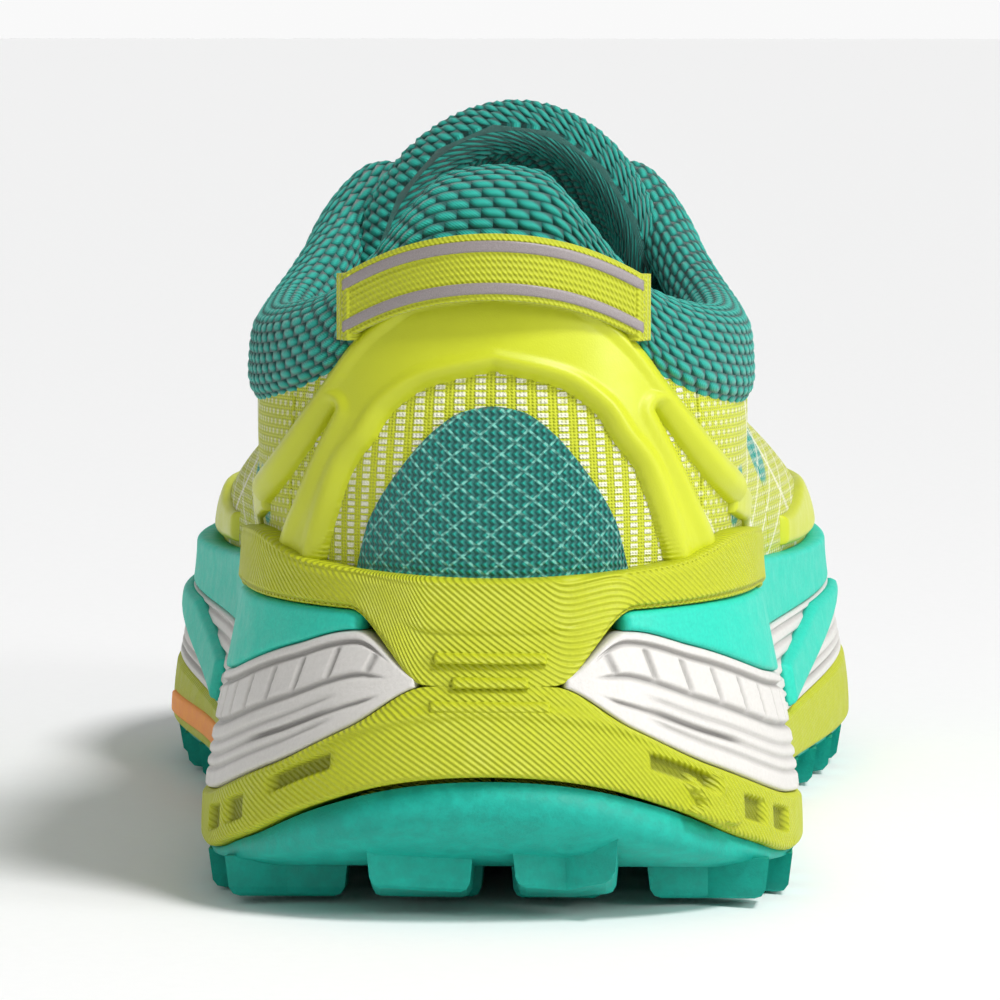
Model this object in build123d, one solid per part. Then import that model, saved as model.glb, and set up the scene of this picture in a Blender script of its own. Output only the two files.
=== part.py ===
from build123d import *

import math
import os

import numpy as np

# Left-foot trail running shoe, millimetres. +Y runs heel to toe, +X is the medial side, +Z is up.
# Every piece is laid out in section planes that stand on the sole's outline. A plane is named by
# its station: 0 at the middle of the heel, -1 round the lateral side to the toe, +1 round the medial
# side to the toe. Inside a plane a point has a depth in from the outline and a height.

HALF_LENGTH = 149.0
HEEL_CENTRE_X = 4.5
GAP = 0.15  # between glued or sewn neighbours
SEAM = 0.45  # between moulded foam pieces round the sole
LUG_DEPTH = 4.8
PANEL = 1.0  # thickness of one upper layer

LATERAL_OUTLINE = [
    (-18, -143.5), (-34, -127), (-41.5, -103), (-43, -70), (-44, -25), (-51, 25),
    (-59.5, 66), (-57, 99), (-41, 130),
]
MEDIAL_OUTLINE = [
    (27, -143.5), (43, -127), (50.5, -103), (49.5, -70), (46.5, -30), (51, 15),
    (59.5, 66), (56, 103), (39, 132),
]

# Where each section plane points: the Y of its target on the spine line X = HEEL_CENTRE_X.
SPINE_Y = [
    (0, -104), (0.1, -103), (0.2, -98), (0.28, -78), (0.36, -52), (0.44, -24), (0.55, 12),
    (0.66, 48), (0.78, 84), (0.9, 103), (1, 107),
]

# Sole heights by station.
CRADLE_TOP = [
    (0, 51.5), (0.1, 53), (0.17, 56.5), (0.24, 55), (0.34, 47), (0.46, 43), (0.66, 40), (0.85, 42),
    (0.93, 46.5), (1, 51),
]
CRADLE_BOTTOM = [(0, 36.4), (0.03, 36.6), (0.075, 46.4), (0.2, 46.6), (0.3, 43), (0.42, 39)]
BAND_TOP = [
    (0, 36.2), (0.03, 35.6), (0.065, 29), (0.11, 22.5), (0.19, 15.5), (0.3, 13), (0.45, 14),
    (0.66, 18), (0.85, 23), (0.93, 32), (1, 38.5),
]
WEDGE_TOP = [
    (0.03, 36.9), (0.068, 43.4), (0.11, 40.5), (0.19, 34.4), (0.3, 31), (0.5, 30), (0.7, 31.5),
    (0.85, 34.5), (0.93, 39.5), (1, 44.5),
]
WALL_FLARE = [(0, 7), (0.2, 6.8), (0.36, 5), (0.7, 4.2), (1, 4.8)]
WALL_BACKING = 4.6  # from the narrowest part of the outer wall in to the core

# Sole heights along Y: the underside of the rubber and of the foam above it, and the footbed.
RUBBER_BOTTOM = [
    (-160, 21), (-149, 15.5), (-141, 10.5), (-127, 6.4), (-108, 4.8), (20, 4.8), (80, 5.4),
    (108, 11), (132, 20.5), (149, 29), (160, 35),
]
RUBBER_TOP = [
    (-160, 30), (-149, 23.6), (-141, 18.6), (-127, 12), (-108, 8), (20, 7.8), (80, 8.6),
    (108, 14.2), (132, 24), (149, 33), (160, 39),
]
FOOTBED = [(-160, 40), (-90, 39), (-40, 36.5), (10, 33.5), (70, 33), (110, 36), (149, 44)]

# The foot form: four control points of each section, each a share of the way in to the spine and
# a height.
FORM_SHARE = [
    [(0, 0.285), (0.2, 0.275), (0.36, 0.235), (0.55, 0.19), (0.78, 0.165), (1, 0.235)],
    [(0, 0.15), (0.2, 0.19), (0.36, 0.12), (0.55, 0.06), (0.78, 0.04), (1, 0.08)],
    [
        (0, 0.44), (0.1, 0.36), (0.2, 0.17), (0.28, 0.14), (0.36, 0.3), (0.44, 0.45), (0.6, 0.56),
        (1, 0.55),
    ],
    [(0, 0.5), (0.1, 0.46), (0.2, 0.36), (0.28, 0.5), (0.36, 1), (1, 1)],
]
FORM_HEIGHT = [
    [(0, 40.5), (0.2, 40.5), (0.36, 38.5), (0.55, 35), (0.78, 35), (0.9, 39), (1, 44)],
    [
        (0, 68), (0.2, 62), (0.28, 62), (0.36, 66), (0.55, 62), (0.66, 55), (0.78, 51), (0.9, 54),
        (1, 58),
    ],
    [
        (0, 90), (0.2, 95), (0.28, 100), (0.36, 119), (0.44, 107.5), (0.55, 91), (0.66, 76),
        (0.78, 66), (0.9, 62), (1, 61),
    ],
    [
        (0, 124), (0.28, 124), (0.36, 121), (0.44, 108), (0.55, 91), (0.66, 76), (0.78, 66),
        (0.9, 62), (1, 61),
    ],
]

# Upper edges by station.
OPENING_HEIGHT = [
    (0, 113), (0.04, 112), (0.065, 107), (0.085, 101), (0.11, 95.5), (0.15, 92), (0.2, 90.5),
    (0.26, 91), (0.31, 95), (0.34, 101.5), (0.36, 108), (0.375, 111), (0.39, 108.5),
]
OPENING_SHARE = [(0.42, 0.55), (0.5, 0.62), (0.6, 0.68)]  # the throat edge, as a share of the way in
COLLAR_DEPTH = 14.0
THROAT_END = 0.62
EAR_STATION = 0.395
VAMP_START = 0.56

TONGUE_ARCH = (0.0081, 5.6e-5)  # drop of the arch by the second and fourth power of the offset
TONGUE_THICKNESS = 6.5
TONGUE_SINK = 5.6  # below the foot form's ridge
TONGUE_HINGE_Y = -36.0
TONGUE_TOP_Y = -54.0
TONGUE_BASE_Y = 42.0

TAB_WIDTH = 10.0
TAB_THICKNESS = 1.6
TAB_HEIGHT = 98.0
TAB_DROP = 6.5  # from the tab's middle to its ends
TAB_STATION = 0.09
TAB_REST = 3.7  # the tab's ends stand this far off the foot form
TAB_BOW = 3.4


def smooth(knots, level_ends=True):
    """A monotone cubic curve through (position, value) knots, level at its ends if asked."""
    xs = [k[0] for k in knots]
    ys = [k[1] for k in knots]
    steps = [b - a for a, b in zip(xs, xs[1:])]
    rises = [(b - a) / h for a, b, h in zip(ys, ys[1:], steps)]
    ends = (0.0, 0.0) if level_ends else (rises[0], rises[-1])
    slopes = [ends[0]]
    for before, after in zip(rises, rises[1:]):
        slopes.append(2 * before * after / (before + after) if before * after > 0 else 0.0)
    slopes.append(ends[1])

    def value(x):
        x = min(max(x, xs[0]), xs[-1])
        i = min(max(sum(1 for k in xs if k <= x) - 1, 0), len(steps) - 1)
        t = (x - xs[i]) / steps[i]
        bend_a = ys[i] * (1 + 2 * t) + slopes[i] * steps[i] * t
        bend_b = ys[i + 1] * (3 - 2 * t) - slopes[i + 1] * steps[i] * (1 - t)
        return bend_a * (1 - t) ** 2 + bend_b * t**2

    return value


def closed_spline(points, samples=40):
    """Points along the closed curve of continuous curvature through the given points."""
    knots = np.array(points, float)
    spans = np.linalg.norm(np.roll(knots, -1, 0) - knots, axis=1) ** 0.5
    count = len(knots)
    matrix = np.zeros((count, count))
    right = np.zeros((count, 2))
    for i in range(count):
        before, after = spans[i - 1], spans[i]
        nxt = (i + 1) % count
        matrix[i, i - 1] += 1 / before
        matrix[i, i] += 2 / before + 2 / after
        matrix[i, nxt] += 1 / after
        right[i] = 3 * (knots[i] - knots[i - 1]) / before**2 + 3 * (knots[nxt] - knots[i]) / after**2
    slopes = np.linalg.solve(matrix, right)
    curve = []
    for i in range(count):
        nxt = (i + 1) % count
        for t in np.linspace(0, 1, samples, endpoint=False):
            start = knots[i] * (1 + 2 * t) + slopes[i] * spans[i] * t
            end = knots[nxt] * (3 - 2 * t) - slopes[nxt] * spans[i] * (1 - t)
            curve.append(start * (1 - t) ** 2 + end * t**2)
    return np.array(curve), samples * (len(LATERAL_OUTLINE) + 1)


def side_by_length(points):
    """One side of the outline as a function of the share of its length from heel to toe."""
    run = np.concatenate([[0], np.cumsum(np.linalg.norm(np.diff(points, axis=0), axis=1))])
    share = run / run[-1]
    return lambda s: (np.interp(s, share, points[:, 0]), np.interp(s, share, points[:, 1]))


heel_point = (HEEL_CENTRE_X, -HALF_LENGTH)
toe_point = (HEEL_CENTRE_X, HALF_LENGTH)
outline, toe_index = closed_spline(
    [heel_point] + LATERAL_OUTLINE + [toe_point] + MEDIAL_OUTLINE[::-1]
)
middle = (outline.max(0) + outline.min(0)) / 2
outline = outline - middle
spine_x = HEEL_CENTRE_X - middle[0]
lateral_side = side_by_length(outline[: toe_index + 1])
medial_side = side_by_length(np.vstack([outline[toe_index:], outline[:1]])[::-1])
spine_y = smooth(SPINE_Y)
cradle_top = smooth(CRADLE_TOP)
cradle_bottom = smooth(CRADLE_BOTTOM)
band_top = smooth(BAND_TOP)
wedge_top = smooth(WEDGE_TOP)
wall_flare = smooth(WALL_FLARE)
rubber_bottom = smooth(RUBBER_BOTTOM, level_ends=False)
rubber_top = smooth(RUBBER_TOP, level_ends=False)
footbed = smooth(FOOTBED)
form_share = [smooth(knots) for knots in FORM_SHARE]
form_height = [smooth(knots) for knots in FORM_HEIGHT]


# ---- section planes ----


def section_plane(station):
    """The plane's foot on the outline, its unit direction inwards and the way in to the spine."""
    side = lateral_side if station < 0 else medial_side
    foot = np.array(side(abs(station)))
    target = np.array([spine_x, spine_y(abs(station))])
    reach = float(np.linalg.norm(target - foot))
    return foot, (target - foot) / reach, reach


def place(station, depth, height):
    foot, inward, _ = section_plane(station)
    x, y = foot + inward * depth
    return Vector(x, y, height)


STATION_GRID = (
    [i * 0.01 for i in range(13)]
    + [0.14, 0.16, 0.18, 0.2]
    + [0.23 + i * 0.03 for i in range(6)]
    + [0.395 + i * 0.015 for i in range(15)]
    + [0.62, 0.65, 0.7, 0.75, 0.8, 0.825]
    + [0.85 + i * 0.025 for i in range(6)]
)


def stations(start, end):
    """The stations from one end to the other on one shared grid, so that neighbours match."""
    low, high = sorted((start, end))
    grid = sorted({round(sign * s, 4) for sign in (-1, 1) for s in STATION_GRID})
    inside = [s for s in grid if low + 0.004 < s < high - 0.004]
    rows = [low] + inside + [high]
    if len(rows) < 4:
        rows = [low + (high - low) * i / 4 for i in range(5)]
    return rows if start < end else rows[::-1]


def strip(sections, ruled=False):
    """A solid through sections, each an outer and an inner row of points from bottom to top."""
    wires = []
    for outer, inner in sections:
        edges = [
            Edge.make_spline(outer) if len(outer) > 2 else Edge.make_line(*outer),
            Edge.make_line(outer[-1], inner[-1]),
            Edge.make_spline(inner[::-1]) if len(inner) > 2 else Edge.make_line(*inner[::-1]),
            Edge.make_line(inner[0], outer[0]),
        ]
        wires.append(Wire(edges))
    return Solid.make_loft(wires, ruled)


# ---- the sole wall ----


def core_depth(station):
    return wall_flare(abs(station)) + WALL_BACKING


def wall_depth(station, height):
    """Depth of the sole's outer wall: widest low down, drawn in towards the cradle's top."""
    s = abs(station)
    low = rubber_top(place(station, 0, 0).Y)
    share = (height - low) / (cradle_top(s) - low)
    share = min(max(share, 0.0), 1.1)
    return wall_flare(s) * (1 - math.cos(math.pi * share)) / 2


def inner_depth(station, height):
    """Depth of the wall's inner face: beside the core low down, against the upper above it."""
    if height <= form_point(station, 0)[1]:
        return core_depth(station)
    v = v_where(station, 1, height)
    return min(core_depth(station), form_point(station, v)[0] - PANEL - 3 * GAP)


def wall_piece(start, end, bottom, top, ruled=False):
    """A piece of the sole's side between two heights that are functions of the station."""
    sections = []
    for station in stations(start, end):
        low, high = bottom(abs(station)), top(abs(station))
        heights = [low + (high - low) * i / 3 for i in range(4)]
        outer = [place(station, wall_depth(station, z), z) for z in heights]
        inner = [place(station, inner_depth(station, z), z) for z in heights]
        sections.append((outer, inner))
    return strip(sections, ruled)


def wall_trim(start, end, bottom, top, proud):
    """A thin raised piece on the sole's side."""
    sections = []
    for station in stations(start, end):
        low, high = bottom(abs(station)), top(abs(station))
        rows = []
        for out in (proud, 0.08):
            rows.append([place(station, wall_depth(station, z) - out, z) for z in (low, high)])
        sections.append(rows)
    return strip(sections)


# The panels of the sole's side wall between the lower band and the foam above it.
WALL_SPANS = [
    ("heel_wedge", 0.035, 0.3),
    ("midfoot_wall", 0.3015, 0.4585),
    ("forefoot_wedge", 0.46, 0.86),
    ("toe_wall", 0.8615, 0.999),
]


def foam_bottom(s):
    return band_top(s) + SEAM


def foam_top(s):
    return wedge_top(s) - SEAM


def lower_band():
    """The lime foam ring round the whole sole, whose underside follows the rubber."""
    sections = []
    for station in stations(-0.999, 0.999):
        depth = core_depth(station)
        low = rubber_top(place(station, 0, 0).Y) + 2 * GAP
        inner_low = rubber_top(place(station, depth, 0).Y) + 4 * GAP
        high = band_top(abs(station))
        heights = [low + (high - low) * i / 3 for i in range(4)]
        outer = [place(station, wall_depth(station, z), z) for z in heights]
        inner = [place(station, depth, inner_low), place(station, depth, high)]
        sections.append((outer, inner))
    return strip(sections)


def outline_face(depth, at=0.0):
    """A flat face inside the outline, drawn in by a depth that may depend on the station."""
    points = []
    for station in [-1 + i / 36 for i in range(72)]:
        points.append(place(station, depth(station), at))
    return Face(Wire([Edge.make_spline(points, periodic=True)]))


def slab(lower, upper):
    """A block across the whole width between two height curves along Y."""
    ys = [-155 + 10 * i for i in range(32)]
    under = [Vector(-80, y, lower(y)) for y in ys]
    over = [Vector(-80, y, upper(y)) for y in ys]
    edges = [
        Edge.make_spline(under),
        Edge.make_line(under[-1], over[-1]),
        Edge.make_spline(over[::-1]),
        Edge.make_line(over[0], under[0]),
    ]
    return extrude(Face(Wire(edges)), 160, dir=(1, 0, 0))


def midsole_core():
    tall = extrude(outline_face(lambda s: core_depth(s) + 3 * GAP), 80, dir=(0, 0, 1))
    return tall & slab(lambda y: rubber_top(y) + GAP, lambda y: footbed(y) - 1.5)


def lug_outline(centre_x, centre_y, width, length, lean):
    """A block with a notched rear edge; lean slides its inner end along Y."""
    half = width / 2
    points = [
        (-half, -length / 2),
        (0, -length / 2 + 2.2),
        (half, -length / 2 + lean),
        (half, length / 2 + lean),
        (0, length / 2 + 2.2),
        (-half, length / 2),
    ]
    return Polyline(*[(centre_x + x, centre_y + y) for x, y in points], close=True)


def lugs(start, end):
    """Rows of lugs: a wide block at each edge and two chevrons between them."""
    blocks = []
    pitch = 16.5
    rows = int((end - start) // pitch)
    for row in range(rows):
        y = start + pitch * (row + 0.5)
        left = lateral_x(y)
        right = medial_x(y)
        span = right - left
        edge_width = span * 0.2
        for at, width, lean in (
            (left + edge_width * 0.5 + 2, edge_width, 2.5),
            (left + span * 0.39, span * 0.17, 4.5),
            (right - span * 0.39, span * 0.17, -4.5),
            (right - edge_width * 0.5 - 2, edge_width, -2.5),
        ):
            shape = make_face(lug_outline(at, y, width, 9.5, lean))
            blocks.append(extrude(shape, 60, dir=(0, 0, 1)))
    band = slab(lambda v: rubber_bottom(v) - LUG_DEPTH, lambda v: rubber_bottom(v) + 1.2)
    return Compound(children=blocks) & band


def lateral_x(y):
    return side_x(lateral_side, y)


def medial_x(y):
    return side_x(medial_side, y)


def side_x(side, y):
    shares = np.linspace(0.03, 0.97, 120)
    xs, ys = side(shares)
    return float(np.interp(y, ys, xs))


def outsole(start, end):
    """A rubber plate with its lugs, a little inside the outline."""
    tall = extrude(outline_face(lambda s: 1.6), 80, dir=(0, 0, 1))
    part = Pos(0, (start + end) / 2, 40) * Box(200, end - start, 80)
    plate = tall & part & slab(rubber_bottom, rubber_top)
    grip = lugs(max(start, -143), min(end, 143)) & tall
    return plate + grip


def side_accent(start, end):
    """A thin insert let into the band's lower edge on the lateral side."""
    return wall_trim(start, end, lambda s: 8.9, lambda s: 12.4, 0.6)


def chevron(side):
    """A slanted teal rib over the forefoot wedge."""
    sections = []
    for i in range(5):
        station = side * (0.52 + 0.05 * i)
        s = abs(station)
        low = band_top(s) + 1 + 2.6 * i
        high = min(low + 7, wedge_top(s) - 0.5)
        heights = [low, (low + high) / 2, high]
        outer = [place(station, wall_depth(station, z) - 1.4, z) for z in heights]
        inner = [place(station, wall_depth(station, z) - 0.1, z) for z in heights]
        sections.append((outer, inner))
    return strip(sections)


def heel_bars():
    """Three short raised bars on the waist of the heel, one above the other."""
    bars = []
    for height, half in ((39.6, 0.024), (36.2, 0.016), (32.8, 0.024)):
        bars.append(
            wall_trim(-half, half, lambda s, z=height: z - 0.7, lambda s, z=height: z + 0.7, 0.9)
        )
    return Compound(children=bars)


# ---- the foot form and the upper's layers ----


def form_point(station, v):
    """Depth and height on the foot form, v from the feather edge to its top."""
    s = abs(station)
    reach = section_plane(station)[2]
    weights = [(1 - v) ** 3, 3 * (1 - v) ** 2 * v, 3 * (1 - v) * v**2, v**3]
    depth = sum(w * share(s) for w, share in zip(weights, form_share)) * reach
    height = sum(w * z(s) for w, z in zip(weights, form_height))
    return depth, height


def layer_point(station, v, offset):
    """A point at an offset outwards from the foot form, inside its section plane."""
    step = 0.004
    before = form_point(station, max(v - step, 0))
    after = form_point(station, min(v + step, 1))
    along = np.array([after[0] - before[0], after[1] - before[1]])
    along /= np.linalg.norm(along)
    depth, height = form_point(station, v)
    return place(station, depth - along[1] * offset, height + along[0] * offset)


def v_where(station, index, wanted):
    """The v at which the form's depth share (0) or height (1) reaches a value."""
    reach = section_plane(station)[2]
    samples = np.linspace(0, 1, 81)
    rows = [form_point(station, v) for v in samples]
    values = [row[0] / reach if index == 0 else row[1] for row in rows]
    if index == 0:
        first = int(np.argmin(values))
        return float(np.interp(wanted, values[first:], samples[first:]))
    return float(np.interp(wanted, values, samples))


opening_v = smooth(
    [(s, v_where(s, 1, z)) for s, z in OPENING_HEIGHT]
    + [(s, v_where(s, 0, share)) for s, share in OPENING_SHARE]
)


def height_v(heights):
    """A v curve from heights by station."""
    return smooth([(s, v_where(s, 1, z)) for s, z in heights])


def collar_v(s):
    """The seam below the collar pad."""
    height = form_point(s, opening_v(s))[1]
    return v_where(s, 1, height - COLLAR_DEPTH)


def layer(start, end, low, high, inner_offset, outer_offset, rows=6, ruled=False):
    """A sheet of the upper between two v curves and two offsets from the foot form."""
    sections = []
    for station in stations(start, end):
        s = abs(station)
        span = [low(s) + (high(s) - low(s)) * i / (rows - 1) for i in range(rows)]
        outer = [layer_point(station, v, outer_offset) for v in span]
        inner = [layer_point(station, v, inner_offset) for v in span]
        sections.append((outer, inner))
    return strip(sections, ruled)


def quarter_top(s):
    """Top edge of the quarter: the collar seam at the back, the throat edge in front."""
    blend = min(max((s - EAR_STATION - 0.015) / 0.03, 0), 1)
    blend = blend * blend * (3 - 2 * blend)
    return (collar_v(s) - 0.02) * (1 - blend) + (opening_v(s) - 0.01) * blend


def collar():
    """The padded collar: full at the rim, thin at the seam below it."""
    fill = smooth([(0, 9), (0.15, 8.5), (0.28, 7), (0.34, 5), (EAR_STATION, 3)])
    sections = []
    for i in range(-13, 14):
        station = EAR_STATION * i / 13
        s = abs(station)
        low, high = collar_v(s) + 0.012, opening_v(s)
        thick = fill(s)
        rim = high - (high - low) * 0.2
        middle_v = (low + rim) / 2
        outer = [
            layer_point(station, low, PANEL * 0.9),
            layer_point(station, middle_v, PANEL + 0.8),
            layer_point(station, rim, PANEL + 0.4),
            layer_point(station, high, -thick * 0.25),
        ]
        inner = [
            layer_point(station, low, -thick * 0.35),
            layer_point(station, middle_v, -thick * 0.8),
            layer_point(station, rim, -thick),
            layer_point(station, high, -thick * 0.65),
        ]
        sections.append((outer, inner))
    return strip(sections, ruled=True)


def mirrored_halves(start, end, low, inner_offset, outer_offset, rows=8):
    """A sheet that crosses the spine: its lateral and medial halves meet along the ridge."""
    halves = [
        layer(side * start, side * end, low, lambda s: 0.999, inner_offset, outer_offset, rows)
        for side in (-1, 1)
    ]
    return Compound(children=halves)


# ---- tongue and laces ----


ridge_by_y = smooth(
    [(spine_y(s), form_height[3](s)) for s in (0.36, 0.4, 0.44, 0.5, 0.55, 0.6, 0.66, 0.72, 0.78)],
    level_ends=False,
)


def arch_point(offset_x, y, rise):
    drop = TONGUE_ARCH[0] * offset_x**2 + TONGUE_ARCH[1] * offset_x**4
    return Vector(spine_x + offset_x, y, ridge_by_y(y) - drop + rise)


def tongue_part(start_y, end_y, half_width, thickness):
    """A padded arch across the instep, thinner towards its edges."""
    sections = []
    for i in range(7):
        y = start_y + (end_y - start_y) * i / 6
        half = half_width(y)
        fill = thickness(y)
        offsets = [half * k / 4 for k in range(-4, 5)]
        over = [arch_point(x, y, -TONGUE_SINK) for x in offsets]
        under = [
            arch_point(x * (1 - fill / 60), y, -TONGUE_SINK - fill * (1 - 0.35 * (x / half) ** 2))
            for x in offsets
        ]
        sections.append((over, under))
    return strip(sections)


tongue_half = smooth([(TONGUE_TOP_Y, 13.5), (-36, 14), (-26, 17), (10, 20), (TONGUE_BASE_Y, 19)])
tongue_fill = smooth([(TONGUE_TOP_Y, 5), (-47, TONGUE_THICKNESS), (-20, 6), (TONGUE_BASE_Y, 3)])


def lace_rows(count=6):
    """Flat lace bars across the throat, one per eyelet pair, slanted turn about."""
    rows = []
    for i in range(count):
        y = -30 + 12 * i
        slant = 2.2 if i % 2 == 0 else -2.2
        rows.append(lace_bar(y, 19 - 0.9 * i, slant))
    return rows


def lace_bar(y, half, slant, width=6.0, thickness=1.3, rise=0.35):
    """A flat bar that rests on the crown of the tongue and reaches the throat's edges."""
    sections = []
    for k in range(-4, 5):
        x = half * k / 4
        drop = TONGUE_ARCH[0] * 0.9 * x**2
        rows = []
        for level in (rise + thickness, rise):
            row = []
            for end in (-1, 1):
                at = y + slant * k / 4 + end * width / 2
                row.append(Vector(spine_x + x, at, ridge_by_y(at) - TONGUE_SINK - drop + level))
            rows.append(row)
        sections.append(rows)
    return strip(sections)


def lace_knot():
    """The tied knot on the top lace bar, with both ends tucked under the bar in front."""
    crown = arch_point(0, -30, -TONGUE_SINK + 1.8)
    return Pos(crown.X, crown.Y, crown.Z + 3.3) * Rot(X=-25) * ellipsoid(9, 5, 3.0)


def ellipsoid(a, b, c):
    """A sphere scaled to three half axes."""
    return scale(Sphere(1), by=(a, b, c))


def eyelet_loops(side, count=6):
    """Webbing loops sewn on the throat edge that carry the lace."""
    loops = []
    for i in range(count):
        station = side * (0.457 + 0.0285 * i)
        s = abs(station)
        low = v_where(s, 0, OPENING_SHARE[0][1] - 0.2 + 0.01 * i)
        high = opening_v(s) - 0.012
        loops.append(
            layer(
                station - side * 0.009, station + side * 0.009,
                lambda s, v=low: v, lambda s, v=high: v, 2.6, 3.5, rows=5,
            )
        )
    return Compound(children=loops)


# ---- heel details ----


def arch_overlay():
    """The moulded horseshoe round the heel, from the cradle up behind the pull tab."""
    inner_edge = height_v([
        (0, 82), (0.034, 80), (0.055, 76), (0.068, 71), (0.079, 67.5), (0.0875, 62), (0.1, 53.8),
        (0.14, 57),
    ])
    outer_edge = height_v([(0, 92), (0.05, 91), (0.08, 86), (0.105, 77), (0.13, 68.5), (0.14, 66)])
    return layer(-0.138, 0.138, inner_edge, outer_edge, 1.4, 3.1)


def dome_panel():
    """The woven dome under the arch."""
    top = height_v([(0, 76.5), (0.0175, 75.8), (0.033, 73), (0.051, 67.5), (0.0685, 60), (0.08, 54.5)])
    foot = height_v([(0, 52), (0.08, 53.2)])
    return layer(-0.0785, 0.0785, foot, top, 1.25, 2.0, rows=5)


def wing(side):
    """The overlay's branch that runs forward and down along the quarter."""
    low = height_v([(0.14, 62), (0.18, 58.5), (0.25, 56), (0.32, 51)])
    high = height_v([(0.14, 68), (0.18, 66), (0.25, 62), (0.32, 54)])
    return layer(side * 0.142, side * 0.315, low, high, 1.15, 2.2, rows=4)


def tab_point(station, out, level):
    """A point of the pull tab's bow; level runs from -1 at its lower edge to 1 at its upper."""
    share = station / TAB_STATION
    height = TAB_HEIGHT - TAB_DROP * share**2
    stand_off = TAB_REST + TAB_BOW * math.cos(math.pi / 2 * share) ** 2
    depth = form_point(station, v_where(station, 1, height))[0] - stand_off - out
    return place(station, depth, height + level * TAB_WIDTH / 2)


def tab_band(inner, outer, low, high, end=TAB_STATION):
    sections = []
    for i in range(13):
        station = end * (i / 6 - 1)
        sections.append(
            (
                [tab_point(station, outer, low), tab_point(station, outer, high)],
                [tab_point(station, inner, low), tab_point(station, inner, high)],
            )
        )
    return strip(sections)


# ---- the whole shoe ----


def build_parts():
    """Each piece of the shoe by node name."""
    feather = height_v([(0, 43), (0.36, 41), (0.55, 37), (0.78, 37), (0.9, 41), (1, 46)])
    parts = {}
    parts["outsole_heel"] = outsole(-155, -22)
    parts["outsole_forefoot"] = outsole(12, 155)
    parts["midsole_core"] = midsole_core()
    parts["lower_band"] = lower_band()
    parts["sole_accent_lateral"] = side_accent(-0.5, -0.66)
    parts["heel_bars"] = heel_bars()
    parts["midsole_cradle"] = wall_piece(-0.42, 0.42, cradle_bottom, cradle_top, ruled=True)
    for side, name in ((-1, "lateral"), (1, "medial")):
        for wall, start, end in WALL_SPANS:
            parts[f"{wall}_{name}"] = wall_piece(side * start, side * end, foam_bottom, foam_top)
        parts[f"side_band_{name}"] = wall_piece(side * 0.07, side * 0.999, wedge_top, side_band_top)
        parts[f"wedge_chevron_{name}"] = chevron(side)
    parts["strobel_board"] = strobel_board()
    parts["sockliner"] = sockliner()
    for side, name in ((-1, "lateral"), (1, "medial")):
        parts[f"quarter_{name}"] = layer(
            side * 0.142, side * VAMP_START, feather, quarter_top, 0, PANEL, rows=12
        )
        parts[f"lining_{name}"] = layer(
            side * 0.142, side * VAMP_START, feather, lambda s: quarter_top(s) - 0.09, -3.2, -2.4
        )
        parts[f"eyestay_{name}"] = layer(
            side * 0.445, side * 0.61,
            lambda s: v_where(s, 0, 0.42), lambda s: opening_v(s) - 0.015, 1.5, 2.4,
        )
        parts[f"wing_overlay_{name}"] = wing(side)
        parts[f"eyelet_loops_{name}"] = eyelet_loops(side)
    parts["heel_panel"] = layer(-0.1405, 0.1405, feather, lambda s: collar_v(s) - 0.03, 0, PANEL, rows=9)
    parts["heel_lining"] = layer(-0.1405, 0.1405, feather, lambda s: collar_v(s) - 0.04, -3.2, -2.4)
    parts["heel_counter"] = layer(
        -0.2, 0.2, feather, lambda s: feather(s) + (collar_v(s) - feather(s)) * 0.72, -2.0, -0.8, ruled=True
    )
    parts["heel_overlay"] = arch_overlay()
    parts["heel_dome"] = dome_panel()
    parts["collar_pad"] = collar()
    parts["vamp"] = vamp(feather)
    parts["toe_puff"] = mirrored_halves(0.8, 0.985, feather, -1.4, -0.3)
    parts["toe_rand"] = toe_rand()
    parts["tongue_base"] = tongue_part(TONGUE_HINGE_Y + 0.6, TONGUE_BASE_Y, tongue_half, tongue_fill)
    parts["tongue_top"] = tongue_part(TONGUE_TOP_Y, TONGUE_HINGE_Y - 0.6, tongue_half, tongue_fill)
    for i, bar in enumerate(lace_rows(), 1):
        parts[f"lace_row_{i}"] = bar
    parts["lace_knot"] = lace_knot()
    face = TAB_THICKNESS + 0.06
    parts["pull_tab"] = tab_band(0, TAB_THICKNESS, -1, 1)
    parts["tab_stripe_lower"] = tab_band(face, face + 0.3, -0.78, -0.42, end=TAB_STATION * 0.97)
    parts["tab_stripe_upper"] = tab_band(face, face + 0.3, 0.42, 0.78, end=TAB_STATION * 0.97)
    return parts


def side_band_top(s):
    """Top of the teal foam: under the cradle at the back, the sole's edge further forward."""
    under_cradle = cradle_bottom(s) - SEAM
    if s < 0.42:
        return under_cradle
    return cradle_top(s) - 0.5 if s > 0.46 else under_cradle + (s - 0.42) / 0.04 * (
        cradle_top(0.46) - 0.5 - under_cradle
    )


def strobel_board():
    inner = extrude(outline_face(lambda s: core_depth(s) + 2.4), 80, dir=(0, 0, 1))
    return inner & slab(lambda y: footbed(y) - 1.3, footbed)


def sockliner():
    inner = extrude(outline_face(lambda s: core_depth(s) + 5.5), 80, dir=(0, 0, 1))
    return inner & slab(lambda y: footbed(y) + 0.1, lambda y: footbed(y) + 4.1)


def vamp(feather):
    """The forefoot mesh over the toes, open in a notch where the tongue starts."""
    sheet = mirrored_halves(THROAT_END, 0.995, feather, 0, PANEL)
    start, end = VAMP_START + 0.002, THROAT_END - 0.001
    shoulders = [
        layer(side * start, side * end, feather, quarter_top, 0, PANEL, rows=12) for side in (-1, 1)
    ]
    return Compound(children=sheet.children + tuple(shoulders))


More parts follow.
